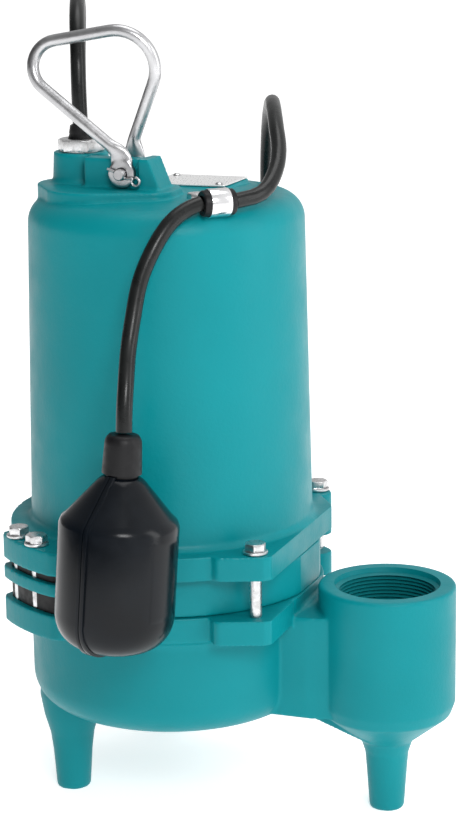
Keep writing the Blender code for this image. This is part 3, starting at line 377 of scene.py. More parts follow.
def spline(points, spacing):
    """Points at an even spacing on the natural cubic spline through the given points."""
    pts = np.array(points, float)
    span = np.linalg.norm(np.diff(pts, axis=0), axis=1)
    knots = np.concatenate([[0.0], np.cumsum(span)])
    count = len(pts)
    system = np.zeros((count, count))
    right = np.zeros_like(pts)
    system[0, 0] = system[-1, -1] = 1.0
    for i in range(1, count - 1):
        system[i, i - 1] = span[i - 1]
        system[i, i] = 2.0 * (span[i - 1] + span[i])
        system[i, i + 1] = span[i]
        right[i] = 6.0 * ((pts[i + 1] - pts[i]) / span[i] - (pts[i] - pts[i - 1]) / span[i - 1])
    bend = np.linalg.solve(system, right)
    steps = max(2, int(round(knots[-1] / spacing)))
    out = []
    for s in np.linspace(0.0, knots[-1], steps + 1):
        i = min(int(np.searchsorted(knots, s, side="right")) - 1, count - 2)
        h = span[i]
        a = (knots[i + 1] - s) / h
        b = (s - knots[i]) / h
        p = a * pts[i] + b * pts[i + 1]
        p = p + ((a ** 3 - a) * bend[i] + (b ** 3 - b) * bend[i + 1]) * h * h / 6.0
        out.append(Vector(p))
    return out


def lathe(bm, profile, segments=128, closed=False, at=None):
    """Add a turned body. An open profile starts and ends on the axis."""
    at = at or Matrix.Identity(4)
    rings = []
    for radius, z in profile:
        if radius < 1e-7:
            rings.append([bm.verts.new(at @ Vector((0.0, 0.0, z)))])
            continue
        ring = []
        for k in range(segments):
            x, y = polar(radius, 360.0 * k / segments)
            ring.append(bm.verts.new(at @ Vector((x, y, z))))
        rings.append(ring)
    pairs = list(zip(rings, rings[1:]))
    if closed:
        pairs.append((rings[-1], rings[0]))
    for upper, lower in pairs:
        for k in range(segments):
            n = (k + 1) % segments
            if len(upper) == 1 and len(lower) > 1:
                bm.faces.new((upper[0], lower[k], lower[n]))
            elif len(lower) == 1 and len(upper) > 1:
                bm.faces.new((upper[k], lower[0], upper[n]))
            elif len(upper) > 1:
                bm.faces.new((upper[k], lower[k], lower[n], upper[n]))
    return bm


def prism(bm, outline, bottom, top, at=None):
    at = at or Matrix.Identity(4)
    low = [bm.verts.new(at @ Vector((x, y, bottom))) for x, y in outline]
    high = [bm.verts.new(at @ Vector((x, y, top))) for x, y in outline]
    bm.faces.new(list(reversed(low)))
    bm.faces.new(high)
    count = len(outline)
    for k in range(count):
        n = (k + 1) % count
        bm.faces.new((low[k], low[n], high[n], high[k]))
    return bm


def box(bm, low, high, at=None):
    outline = ((low[0], low[1]), (high[0], low[1]), (high[0], high[1]), (low[0], high[1]))
    return prism(bm, outline, low[2], high[2], at)


def sweep(bm, path, section, side=None, closed=False):
    """Add a tube along a path. section(t) gives its half sizes across and along side."""
    rings = []
    last = len(path) - 1
    walked = [0.0]
    for a, b in zip(path, path[1:]):
        walked.append(walked[-1] + (b - a).length)
    reference = Vector(side) if side else None
    for i, point in enumerate(path):
        before = path[i - 1] if i or closed else path[0]
        after = path[(i + 1) % len(path)] if i < last or closed else path[last]
        along = (after - before).normalized()
        if reference is None:
            reference = along.orthogonal()
        across = (reference - along * reference.dot(along)).normalized()
        if side is None:
            reference = across
        normal = along.cross(across)
        wide, deep = section(walked[i] / walked[-1])
        ring = []
        for k in range(24):
            c, s = polar(1.0, 15.0 * k)
            ring.append(bm.verts.new(point + normal * (wide * c) + across * (deep * s)))
        rings.append(ring)
    pairs = list(zip(rings, rings[1:]))
    if closed:
        pairs.append((rings[-1], rings[0]))
    for a, b in pairs:
        for k in range(24):
            n = (k + 1) % 24
            bm.faces.new((a[k], a[n], b[n], b[k]))
    if not closed:
        bm.faces.new(list(reversed(rings[0])))
        bm.faces.new(rings[-1])
    return bm


def finish(name, bm, mat, angle=40.0, at=None):
    """Turn a bmesh into an object of the scene, in the row frame."""
    bmesh.ops.recalc_face_normals(bm, faces=bm.faces)
    mesh = bpy.data.meshes.new(name)
    bm.to_mesh(mesh)
    bm.free()
    mesh.transform(SHIFT @ (at or Matrix.Identity(4)))
    obj = bpy.data.objects.new(name, mesh)
    bpy.context.scene.collection.objects.link(obj)
    if mat:
        mesh.materials.append(mat)
    shade(obj, angle)
    return obj


def mount(obj, body, slot, *replaced):
    """Fix an object to a body, in place of the CAD nodes named."""
    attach(obj, body)
    if replaced:
        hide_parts(*replaced)


def shade(obj, angle):
    mesh = obj.data
    mesh.shade_smooth()
    mesh.set_sharp_from_angle(angle=math.radians(angle))


def settle(obj):
    """Replace an object's mesh by what its modifiers make of it."""
    mats = list(obj.data.materials)
    graph = bpy.context.evaluated_depsgraph_get()
    graph.update()
    mesh = bpy.data.meshes.new_from_object(obj.evaluated_get(graph))
    obj.modifiers.clear()
    old = obj.data
    obj.data = mesh
    bpy.data.meshes.remove(old)
    if not mesh.materials:
        for mat in mats:
            mesh.materials.append(mat)


def carve(obj, *cutters, operation="DIFFERENCE"):
    """Apply sharp cuts with helper objects, then remove the helpers."""
    for cutter in cutters:
        modifier = obj.modifiers.new("cut", "BOOLEAN")
        modifier.operation = operation
        modifier.object = cutter
        modifier.solver = "EXACT"
    settle(obj)
    for cutter in cutters:
        bpy.data.objects.remove(cutter, do_unlink=True)


def soften(obj, voxel, rounds, keep):
    """Fuse overlapping blocks and round their edges, as a casting or a forging is."""
    remesh = obj.modifiers.new("fuse", "REMESH")
    remesh.mode = "VOXEL"
    remesh.voxel_size = voxel
    smooth = obj.modifiers.new("round", "SMOOTH")
    smooth.factor = 0.5
    smooth.iterations = rounds
    if keep < 1.0:
        thin = obj.modifiers.new("thin", "DECIMATE")
        thin.ratio = keep
    settle(obj)


def bevelled(obj, width, angle=35.0):
    bevel = obj.modifiers.new("edge", "BEVEL")
    bevel.width = width
    bevel.segments = 2
    bevel.limit_method = "ANGLE"
    bevel.angle_limit = math.radians(angle)
    settle(obj)


def cutter_lathe(profile, segments=96, at=None):
    return finish("cutter", lathe(bmesh.new(), profile, segments), None, at=at)


def cutter_cylinder(radius, bottom, top, segments=64, at=None):
    return cutter_lathe(((0.0, top), (radius, top), (radius, bottom), (0.0, bottom)),
                        segments, at=at)


def cutter_box(low, high, at=None):
    return finish("cutter", box(bmesh.new(), low, high), None, at=at)


# ---------------------------------------------------------------- castings
def flange_outline(radius):
    """A circle with the flat that faces the discharge port."""
    limit = math.degrees(math.acos(FLAT_X / radius)) if radius > FLAT_X else 0.0
    return arc((0.0, 0.0), radius, limit, 360.0 - limit, 120)


def sector_ear(start, end, corner):
    inner = 0.078
    turn = math.degrees(corner / (EAR_RADIUS - corner))
    first = polar(EAR_RADIUS - corner, start + turn)
    last = polar(EAR_RADIUS - corner, end - turn)
    outline = [polar(inner, start)]
    outline += arc(first, corner, start - 90.0, start + turn, 8)
    outline += arc((0.0, 0.0), EAR_RADIUS, start + turn, end - turn, 8)[1:-1]
    outline += arc(last, corner, end - turn, end + 90.0, 8)
    outline.append(polar(inner, end))
    return outline


def square_ear(turn):
    corners = ((0.0400, -0.0600), (0.0560, -0.0800), (0.0588, -0.0812), (0.0840, -0.0722),
               (0.0873, -0.0690), (0.0873, -0.0300), (0.0600, -0.0300))
    spin = Matrix.Rotation(math.radians(turn), 2)
    return [tuple(spin @ Vector(c)) for c in corners]


EARS = {"a": sector_ear(-140.5, -105.0, 0.0085), "c": square_ear(0.0),
        "d": sector_ear(40.5, 74.0, 0.0085), "e": square_ear(180.0)}
FINE = 0.0010    # grain of the castings' fused skin
SMOOTH_ANGLE = 38.0


def pedestal_outline():
    outline = arc((-0.0490, -0.0150), 0.0240, 90.0, 225.0, 16)
    outline += arc((-0.0300, -0.0260), 0.0330, 225.0, 290.0, 10)
    outline += arc((0.0060, -0.0350), 0.0130, 290.0, 360.0, 10)
    return outline + [(0.0190, -0.0220), (0.0120, -0.0100), (-0.0200, 0.0060)]


def clamp_screw_place():
    along = polar(-0.0030, CLAMP_ANGLE)
    inward = polar(0.0230, CLAMP_ANGLE + 90.0)
    return (CLAMP[0] + along[0] + inward[0], CLAMP[1] + along[1] + inward[1])


def motor_housing():
    shoulder = TOP_RADIUS - SHOULDER_RADIUS
    profile = [(0.0, CROWN_Z), (0.022, CROWN_Z - 0.0004), (0.045, CROWN_Z - 0.0018)]
    profile += reversed(arc((shoulder, SHOULDER_Z), SHOULDER_RADIUS, 0.0, 86.0, 14))
    profile += [(BASE_RADIUS, FLANGE_TOP + 0.0035), (BASE_RADIUS + 0.0020, FLANGE_TOP + 0.0006)]
    profile += [(BASE_RADIUS + 0.0025, 0.1640)]
    profile += [(0.0800, 0.1600), (0.0, 0.1600)]
    bm = lathe(bmesh.new(), profile, 192)
    prism(bm, flange_outline(FLANGE_RADIUS), FLANGE_BOTTOM, FLANGE_TOP)
    for outline in EARS.values():
        prism(bm, outline, FLANGE_BOTTOM, FLANGE_TOP)
    boss = Matrix.Translation((*BOSS, 0.0))
    lathe(bm, ((0.0, BOSS_TOP), (0.0160, BOSS_TOP), (0.0168, 0.3740), (0.0190, 0.3700),
               (0.0190, 0.350), (0.0, 0.350)), 64, at=boss)
    prism(bm, pedestal_outline(), 0.350, 0.3715)
    half = 0.0060
    box(bm, (-0.0370, PIN[1] - half, 0.358), (0.0020, PIN[1] + half, 0.3885))
    lie = Matrix.Translation((0.0, PIN[1], 0.3890)) @ UPRIGHT
    prism(bm, ((-0.0015, 0.0), (0.0045, 0.0), (0.0125, -0.0200), (-0.0015, -0.0200)),
          -0.0105, 0.0105, lie)
    box(bm, (-0.0115, -0.0015, 0.360), (0.0370, 0.0400, 0.3692))
    pad = Matrix.Translation((*clamp_screw_place(), 0.0))
    lathe(bm, ((0.0, 0.3670), (0.0078, 0.3670), (0.0078, 0.358), (0.0, 0.358)), 40, at=pad)
    body = finish("housing_casting", bm, PAINT)
    soften(body, FINE, 3, 0.55)
    shoulder_room = [(0.0, 0.3560), (0.0650, 0.3560), (0.0740, 0.345), (0.0760, 0.150)]
    carve(body, cutter_lathe(shoulder_room + [(0.0, 0.150)], 96),
          cutter_cylinder(0.0113, 0.350, 0.400, 48, boss),
          cutter_cylinder(PIN_HOLE, -0.02, 0.02, 32,
                          Matrix.Translation(PIN) @ UPRIGHT),
          cutter_box((-0.0116, -0.0016, 0.3692), (0.0371, 0.0401, 0.380)))
    shade(body, SMOOTH_ANGLE)
    mount(body, "casing", "painted_casting", "motor_housing")


def seal_plate():
    bm = bmesh.new()
    prism(bm, flange_outline(0.0890), VOLUTE_TOP + 0.0002, PLATE_TOP)
    for key in ("a", "d"):
        prism(bm, EARS[key], 0.1445, 0.1520)
    body = finish("seal_plate_casting", bm, PAINT)
    soften(body, FINE, 3, 0.5)
    carve(body, cutter_cylinder(0.0180, 0.130, 0.160, 48),
          cutter_lathe(((0.0, 0.170), (0.0700, 0.170), (0.0660, 0.1500), (0.0, 0.1500)), 96))
    shade(body, SMOOTH_ANGLE)
    mount(body, "casing", "painted_casting", "seal_plate")


def ear_gap_shade_pads():
    """Black pads in the gaps of the stacked ears, set back from their edges: painted shade where
    the gaps lie in shadow.
    """
    outline = [(x * 0.965, y * 0.965) for x, y in sector_ear(-139.0, -106.5, 0.0085)]
    for name, low, high in (("lower", VOLUTE_TOP + 0.0001, 0.1444), ("upper", 0.1521, 0.1569)):
        pad = finish(f"ear_gap_painted_shade_{name}", prism(bmesh.new(), outline, low, high), RUBBER)
        mount(pad, "casing", "black_rubber")


def leg(bm, x, y):
    profile = [(0.0, 0.0880), (0.0110, 0.0860), (0.0180, 0.0740), (0.0190, 0.0600)]
    profile += [(0.0168, 0.0470), (0.0134, 0.0350), (0.0120, 0.0240), (0.0104, 0.0012)]
    profile += [(0.0098, 0.0), (0.0, 0.0)]
    lathe(bm, profile, 48, at=Matrix.Translation((x, y, 0.0)))


def volute_casing():
    outer, corner = 0.0660, 0.0200
    profile = [(0.0, 0.1250), (0.0905, 0.1250), (0.0905, VOLUTE_FLANGE_BOTTOM)]
    profile += [(0.0875, VOLUTE_FLANGE_BOTTOM - 0.0020), (0.0862, VOLUTE_FLANGE_BOTTOM - 0.0060)]
    profile += reversed(arc((outer, 0.0570 + corner), corner, 270.0, 360.0, 14))
    profile += [(0.0380, 0.0570), (0.0370, 0.0535), (0.0, 0.0535)]
    bm = lathe(bmesh.new(), profile, 192)
    prism(bm, flange_outline(0.0910), VOLUTE_FLANGE_BOTTOM, VOLUTE_TOP)
    for outline in EARS.values():
        prism(bm, outline, VOLUTE_FLANGE_BOTTOM, VOLUTE_TOP)
    port = [(0.0, DISCHARGE_TOP), (0.0395, DISCHARGE_TOP), (0.0405, DISCHARGE_TOP - 0.0012)]
    port += [(0.0405, 0.0680), (0.0380, 0.0610), (0.0155, 0.0430), (0.0129, 0.0350)]
    port += [(0.0120, 0.0240), (0.0104, 0.0012), (0.0098, 0.0), (0.0, 0.0)]
    at = Matrix.Translation((DISCHARGE_X, 0.0, 0.0))
    lathe(bm, port, 128, at=at)
    neck = ((0.060, -0.0330), (0.095, -0.0330), (0.130, -0.0270), (0.130, 0.0270),
            (0.095, 0.0330), (0.060, 0.0330))
    prism(bm, neck, 0.0620, 0.1240)
    prism(bm, ((0.0700, 0.0665), (0.1300, 0.0450), (0.1300, 0.0800), (0.0700, 0.0800)),
          -0.0200, 0.0200, UPRIGHT)
    for x, y in LEGS:
        leg(bm, x, y)
    body = finish("volute_casting", bm, PAINT)
    soften(body, FINE, 4, 0.55)
    eye_round = ((0.0, 0.070), (0.0300, 0.070), (0.0300, 0.0560), (0.0330, 0.0530),
                 (0.0330, 0.040), (0.0, 0.040))
    mouth = ((0.0, 0.150), (0.0313, 0.150), (0.0313, DISCHARGE_TOP), (0.0308, 0.1387),
             (0.0308, 0.1170), (0.0290, 0.1150), (0.0290, 0.0720), (0.0, 0.0720))
    throat = finish("cutter", box(bmesh.new(), (0.040, -0.0230, 0.0740),
                                  (0.130, 0.0230, 0.1120)), None)
    chamber = ((0.0, 0.140), (0.0740, 0.140), (0.0740, 0.0660), (0.0, 0.0660))
    carve(body, cutter_lathe(chamber, 96), cutter_lathe(eye_round, 64),
          cutter_lathe(mouth, 128, at=at), throat)
    shade(body, SMOOTH_ANGLE)
    mount(body, "casing", "painted_casting", "volute_casing")
    # The pipe thread inside the discharge port, in a darker copy of the enamel that paints the
    # port's shade.
    pitch = 0.0022
    outline = [(0.0309, 0.1366)]
    z = 0.1362
    for _ in range(9):
        outline += [(0.0300, z), (0.0284, z - pitch * 0.42), (0.0284, z - pitch * 0.52),
                    (0.0300, z - pitch * 0.94)]
        z -= pitch
    outline += [(0.0300, z), (0.0309, z)]
    thread = finish("discharge_thread", lathe(bmesh.new(), outline, 128, closed=True, at=at),
                    PAINT_SHADED_INSIDE, 30.0)
    mount(thread, "casing", "painted_casting")


# ---------------------------------------------------------------- fasteners
def hex_body(radius, bottom, top, chamfer, mat, at):
    """A hexagon with its upper corners chamfered."""
    outline = [polar(radius, 60.0 * k) for k in range(6)]
    body = finish("hex", prism(bmesh.new(), outline, bottom, top), mat)
    flat = radius * math.cos(math.radians(30.0)) * 0.985
    profile = ((0.0, top), (flat, top), (radius * 1.02, top - chamfer),
               (radius * 1.02, bottom), (0.0, bottom))
    carve(body, cutter_lathe(profile, 72), operation="INTERSECT")
    body.data.transform(SHIFT @ at @ SHIFT.inverted())
    return body


def join(name, objects):
    """Join objects into the first, and name it."""
    bm = bmesh.new()
    for obj in objects:
        bm.from_mesh(obj.data)
    first = objects[0]
    bm.to_mesh(first.data)
    bm.free()
    for obj in objects[1:]:
        bpy.data.objects.remove(obj, do_unlink=True)
    first.name = name
    first.data.name = name
    return first


def bolt(name, angle, shank_bottom, turn):
    x, y = polar(BOLT_CIRCLE, angle)
    seat = FLANGE_TOP + 0.0003
    at = Matrix.Translation((x, y, 0.0)) @ Matrix.Rotation(math.radians(turn), 4, "Z")
    head = hex_body(0.0064, seat + 0.0017, seat + 0.0061, 0.0009, ZINC, at=at)
    bevelled(head, 0.00025)
    washer = finish("washer", lathe(bmesh.new(), (
        (0.0040, seat + 0.0016), (0.0068, seat + 0.0016), (0.0072, seat + 0.0013),
        (0.0072, seat + 0.0003), (0.0069, seat), (0.0040, seat)), 48, True), ZINC, at=at)
    pitch = 0.00125
    outline = [(0.0, seat + 0.0030), (0.0034, seat + 0.0030), (0.0034, 0.1345), (0.0031, 0.1340)]
    z = 0.1335
    while z - pitch > shank_bottom:
        outline += [(0.0031, z), (0.0027, z - pitch / 2.0)]
        z -= pitch
    outline += [(0.0029, shank_bottom + 0.0004), (0.0024, shank_bottom), (0.0, shank_bottom)]
    shank = finish("shank", lathe(bmesh.new(), outline, 32), ZINC, 60.0, at=at)
    whole = join(f"{name}_detail", [head, washer, shank])
    shade(whole, 30.0)
    mount(whole, "casing", "zinc_fastener", name)


def gland():
    at = Matrix.Translation((*BOSS, 0.0))
    turned = at @ Matrix.Rotation(math.radians(8.0), 4, "Z")
    nut = hex_body(0.0140, 0.3897, 0.3965, 0.0011, ZINC, at=turned)
    bevelled(nut, 0.0004)
    collar = finish("spigot", lathe(bmesh.new(), (
        (0.0078, 0.3895), (0.0122, 0.3895), (0.0122, 0.3900), (0.0110, 0.3902),
        (0.0110, 0.3730), (0.0078, 0.3730)), 64, True), ZINC, at=at)
    carve(nut, cutter_cylinder(0.0076, 0.360, 0.405, 48, at))
    whole = join("gland_nut_detail", [nut, collar])
    shade(whole, 30.0)
    mount(whole, "casing", "zinc_fastener", "gland_nut")
    outline = [(0.0, 0.4047), (0.0050, 0.4047), (0.0061, 0.4040), (0.0064, 0.4020)]
    outline += [(0.0068, 0.4000), (0.0066, 0.3990), (0.0071, 0.3975), (0.0074, 0.3960)]
    outline += [(0.0074, 0.3740), (0.0, 0.3740)]
    sleeve = finish("gland_collar", lathe(bmesh.new(), outline, 64), RUBBER, at=at)
    mount(sleeve, "casing", "black_rubber", "gland_bushing")


def clevis():
    at = Matrix.Translation(PIN) @ UPRIGHT
    outline = [(0.0, 0.0155), (0.0028, 0.0155), (0.0034, 0.0149), (0.0034, -0.0145)]
    outline += [(0.0055, -0.0150), (0.0055, -0.0168), (0.0046, -0.0175), (0.0, -0.0175)]
    pin = finish("clevis_pin_detail", lathe(bmesh.new(), outline, 48), STAINLESS, at=at)
    mount(pin, "casing", "stainless", "clevis_pin")
    start = Vector((PIN[0], PIN[1] - 0.0133, PIN[2]))
    slope = Vector((0.93, 0.0, -0.37)).normalized()
    across = Vector((slope.z, 0.0, -slope.x))
    line = [start - slope * 0.0080, start - slope * 0.0020, start + slope * 0.0060]
    centre = start + slope * 0.0105
    for step in range(12):
        c, s = polar(0.0024, 200.0 - 29.0 * step)
        line.append(centre + slope * c + across * s)
    wire = finish("cotter_pin_detail", sweep(bmesh.new(), spline(line, 0.0007),
                                             lambda t: (0.0008, 0.0008)), STAINLESS, 60.0)
    mount(wire, "casing", "stainless", "cotter_pin")


def handle_line():
    """The handle rod's middle line: straight runs with a round bend at each corner."""
    stops = [Vector((PIN[0], PIN[1] - EYE_OFFSET, PIN[2]))]
    stops += [Vector(corner) for corner, _ in HANDLE_CORNERS]
    stops.append(Vector((PIN[0], PIN[1] + EYE_OFFSET, PIN[2])))
    corners = [stops[0]]
    for i, (_, radius) in enumerate(HANDLE_CORNERS, 1):
        back = (stops[i - 1] - stops[i]).normalized()
        ahead = (stops[i + 1] - stops[i]).normalized()
        half = back.angle(ahead) / 2.0
        centre = stops[i] + (back + ahead).normalized() * (radius / math.sin(half))
        first = stops[i] + back * (radius / math.tan(half)) - centre
        last = stops[i] + ahead * (radius / math.tan(half)) - centre
        for step in range(15):
            corners.append(centre + first.slerp(last, step / 14.0) * radius)
    corners.append(stops[-1])
    line = [corners[0]]
    for a, b in zip(corners, corners[1:]):
        pieces = max(1, round((b - a).length / ROD_SPACING))
        line += [a.lerp(b, k / pieces) for k in range(1, pieces + 1)]
    return line


def handle():
    path = handle_line()
    length = sum((b - a).length for a, b in zip(path, path[1:]))

    def section(t):
        near = min(t, 1.0 - t) * length
        flat = max(0.0, min(1.0, (0.0200 - near) / 0.0130))
        flat = flat * flat * (3.0 - 2.0 * flat)
        return (ROD_RADIUS + 0.0032 * flat, ROD_RADIUS - 0.0015 * flat)

    bm = sweep(bmesh.new(), path, section, side=(0.0, 1.0, 0.0))
    for y in (PIN[1] - EYE_OFFSET, PIN[1] + EYE_OFFSET):
        at = Matrix.Translation((PIN[0], y, PIN[2])) @ UPRIGHT
        lathe(bm, ((0.0, 0.0022), (0.0080, 0.0022), (0.0080, -0.0022), (0.0, -0.0022)), 64,
              at=at)
    bar = finish("lifting_handle_rod", bm, STAINLESS)
    soften(bar, 0.0007, 3, 0.6)
    carve(bar, cutter_cylinder(PIN_HOLE, -0.02, 0.02, 48, Matrix.Translation(PIN)
                               @ UPRIGHT))
    shade(bar, SMOOTH_ANGLE)
    mount(bar, "handle", "stainless", "lifting_handle")


def nameplate():
    bottom = 0.3695
    columns, rows = 24, 20
    bm = bmesh.new()
    grid = {}
    for i in range(columns + 1):
        for j in range(rows + 1):
            u, v = i / columns, j / rows
            x, y = -0.0110 + 0.0475 * u, -0.0010 + 0.0405 * v
            lift = 0.0007 * max(0.0, u + 1.0 - v - 1.55) ** 1.5
            grid[i, j] = bm.verts.new((x, y, bottom + 0.0008 + lift))
    for i in range(columns):
        for j in range(rows):
            bm.faces.new((grid[i, j], grid[i + 1, j], grid[i + 1, j + 1], grid[i, j + 1]))
    sheet = finish("nameplate_sheet", bm, PLATE)
    solid = sheet.modifiers.new("thick", "SOLIDIFY")
    solid.thickness = 0.0008
    solid.offset = -1.0
    settle(sheet)
    bevelled(sheet, 0.0002)
    mount(sheet, "casing", "bright_plate", "nameplate")
    for number, (x, y) in enumerate(((-0.0065, 0.0340), (0.0315, 0.0045)), 1):
        face = bottom + 0.0008
        outline = [(0.0, face + 0.0014), (0.0010, face + 0.0013), (0.0018, face + 0.0009)]
        outline += [(0.0024, face + 0.0002), (0.0010, face), (0.0010, bottom), (0.0, bottom)]
        rivet = finish(f"rivet_{number}_detail", lathe(bmesh.new(), outline, 32), ZINC,
                       at=Matrix.Translation((x, y, 0.0)))
        mount(rivet, "casing", "zinc_fastener", f"nameplate_rivet_{number}")


def clamp():
    turn = math.radians(CLAMP_ANGLE)
    lie = (Matrix.Translation(CLAMP) @ Matrix.Rotation(turn, 4, "Z")
           @ Matrix.Rotation(math.pi / 2.0, 4, "Y"))
    half = 0.0095
    outline = ((0.0046, half), (0.0068, half), (0.0074, half - 0.0008),
               (0.0074, -half + 0.0008), (0.0068, -half), (0.0046, -half))
    cushion = finish("clamp_cushion_detail", lathe(bmesh.new(), outline, 64, True), RUBBER,
                     at=lie)
    mount(cushion, "casing", "black_rubber", "clamp_cushion")
    outline = ((0.0077, 0.0058), (0.0079, 0.0060), (0.0081, 0.0056), (0.0080, 0.0),
               (0.0081, -0.0056), (0.0079, -0.0060), (0.0077, -0.0058))
    band = finish("band", lathe(bmesh.new(), outline, 72, True), BRIGHT, at=lie)
    screw = clamp_screw_place()
    flat = Matrix.Translation(CLAMP) @ Matrix.Rotation(turn, 4, "Z")
    low = 0.3673 - CLAMP[2]
    tab_outline = [(-0.0058, 0.0062), (0.0058, 0.0062)]
    tab_outline += arc((0.0028, 0.0262), 0.0030, 0.0, 90.0, 6)
    tab_outline += arc((-0.0028, 0.0262), 0.0030, 90.0, 180.0, 6)
    tab = finish("tab", prism(bmesh.new(), tab_outline, low, low + 0.0012), BRIGHT, at=flat)
    carve(tab, cutter_cylinder(0.0075, -0.02, 0.02, 48, lie))
    bevelled(tab, 0.0003)
    whole = join("clamp_band_detail", [band, tab])
    shade(whole, 35.0)
    mount(whole, "casing", "bright_plate", "clamp_band")
    at = Matrix.Translation((*screw, 0.0)) @ Matrix.Rotation(math.radians(20.0), 4, "Z")
    head = hex_body(0.0058, 0.3688, 0.3722, 0.0008, ZINC, at=at)
    bevelled(head, 0.00025)
    shank = finish("shank", lathe(bmesh.new(), (
        (0.0, 0.3700), (0.0020, 0.3700), (0.0020, 0.3615), (0.0, 0.3615)), 24), ZINC, at=at)
    whole = join("clamp_screw_detail", [head, shank])
    shade(whole, 30.0)
    mount(whole, "casing", "zinc_fastener", "clamp_screw")


# ---------------------------------------------------------------- float switch
def float_profile(offset=0.0):
    radius = FLOAT_RADIUS + offset
    points = [(0.0, 0.0520 + offset), (0.0100 + offset, 0.0512 + offset)]
    points += [(0.0122 + offset, 0.0496), (0.0140 + offset, 0.0478)]
    points += [(radius - 0.0040, 0.0300 + offset * 0.5), (radius - 0.0012, 0.0275)]
    points += [(radius, 0.0245)]
    for step in range(17):
        angle = math.radians(90.0 * step / 17.0)
        points.append((radius * math.cos(angle) ** 0.62,
                       -0.0255 - (0.0220 + offset) * math.sin(angle)))
    return points + [(0.0, -0.0475 - offset)]


def float_switch():
    at = Matrix.Translation(FLOAT_CENTRE) @ FLOAT_LEAN.to_matrix().to_4x4()
    spin = Matrix.Rotation(math.radians(SEAM_ANGLE), 4, "Z")
    upright = at @ spin @ UPRIGHT
    rib = float_profile(0.0012)
    outline = rib + [(-r, z) for r, z in reversed(rib[1:-1])]
    for side, node_name in ((1, "float_shell_front"), (-1, "float_shell_rear")):
        shell = finish(f"{node_name}_skin", lathe(bmesh.new(), float_profile(), 144), PLASTIC,
                       at=at)
        edge = finish("cutter", prism(bmesh.new(), outline, -0.0026, 0.0026), None,
                      at=upright)
        half_low = (-0.06, -0.06 if side > 0 else -0.00025, -0.08)
        half_high = (0.06, 0.00025 if side > 0 else 0.06, 0.08)
        carve(shell, edge, operation="UNION")
        carve(shell, cutter_box(half_low, half_high, at @ spin),
              cutter_cylinder(0.0090, 0.030, 0.060, 48, at))
        bevelled(shell, 0.0005, 30.0)
        shade(shell, 32.0)
        mount(shell, "float", "black_plastic", node_name)
    boot = [(0.0, 0.0746), (0.0062, 0.0746), (0.0082, 0.0742), (0.0092, 0.0730)]
    boot += [(0.0101, 0.0712), (0.0103, 0.0690), (0.0107, 0.0600), (0.0110, 0.0530)]
    boot += [(0.0088, 0.0526), (0.0086, 0.0420), (0.0, 0.0420)]
    sleeve = finish("float_boot_detail", lathe(bmesh.new(), boot, 96), RUBBER, at=at)
    mount(sleeve, "float", "black_rubber", "float_neck_boot")
    panel(at)
    line = spline(TETHER_ROUTE, 0.0035)
    half = CORD_DIAMETER / 2.0
    tube = finish("tether_cord", sweep(bmesh.new(), line, lambda t: (half, half)), JACKET, 60.0)
    mount(tube, "float", "black_rubber", "float_tether")


def panel(at):
    """A plain raised field on the float's side."""
    bm = bmesh.new()
    columns, rows = 20, 24
    first, last = -35.0, 7.0
    grid = {}
    for i in range(columns + 1):
        for j in range(rows + 1):
            u, v = i / columns, j / rows
            edge = min(u, 1.0 - u, v * 1.6, (1.0 - v) * 1.6)
            proud = 0.0005 * min(1.0, edge / 0.05) - 0.0002
            x, y = polar(FLOAT_RADIUS + proud, first + (last - first) * u)
            grid[i, j] = bm.verts.new((x, y, -0.0250 + 0.0470 * v))
    for i in range(columns):
        for j in range(rows):
            bm.faces.new((grid[i, j], grid[i + 1, j], grid[i + 1, j + 1], grid[i, j + 1]))
    field = finish("float_panel", bm, PLASTIC, at=at)
    thick = field.modifiers.new("thick", "SOLIDIFY")
    thick.thickness = 0.0008
    thick.offset = -1.0
    settle(field)
    shade(field, 40.0)
    mount(field, "float", "black_plastic")


# ---------------------------------------------------------------- cords
def winding(centre, start, turns, turning):
    """Middle line of a two-layer coil, from its outer low turn to its outer high turn."""
    points = []
    steps = int(turns * 24)
    for step in range(steps + 1):
        t = step / steps
        fold = abs(2.0 * t - 1.0)
        radius = COIL_INNER_LINE + (COIL_OUTER_LINE - COIL_INNER_LINE) * fold
        climb = max(0.0, min(1.0, (t - 0.5) * turns / 0.22 + 0.5))
        climb = climb * climb * (3.0 - 2.0 * climb)
        z = LAYER_LOW + (LAYER_HIGH - LAYER_LOW) * climb
        x, y = polar(radius, start + 360.0 * turning * turns * t)
        points.append(Vector((centre[0] + x, centre[1] + y, z)))
    return points


def cord(name, route, coil, origin, heading, nodes):
    free = spline(route, 0.0200)
    ends = [origin + heading * along + Vector((0.0, 0.0, z)) for along, z in TAIL]
    points = free[:-1] + coil + ends
    data = bpy.data.curves.new(name, "CURVE")
    data.dimensions = "3D"
    data.bevel_depth = CORD_DIAMETER / 2.0
    data.bevel_resolution = 6
    data.use_fill_caps = True
    data.resolution_u = 3
    strand = data.splines.new("BEZIER")
    strand.bezier_points.add(len(points) - 1)
    for i, (item, point) in enumerate(zip(strand.bezier_points, points)):
        before = points[max(0, i - 1)]
        after = points[min(len(points) - 1, i + 1)]
        tangent = (after - before).normalized()
        item.co = point + AXIS
        item.handle_left_type = item.handle_right_type = "FREE"
        item.handle_left = item.co - tangent * ((point - before).length / 3.0)
        item.handle_right = item.co + tangent * ((after - point).length / 3.0)
    obj = bpy.data.objects.new(name, data)
    data.materials.append(JACKET)
    bpy.context.scene.collection.objects.link(obj)
    mount(obj, "casing", "black_rubber", *nodes)


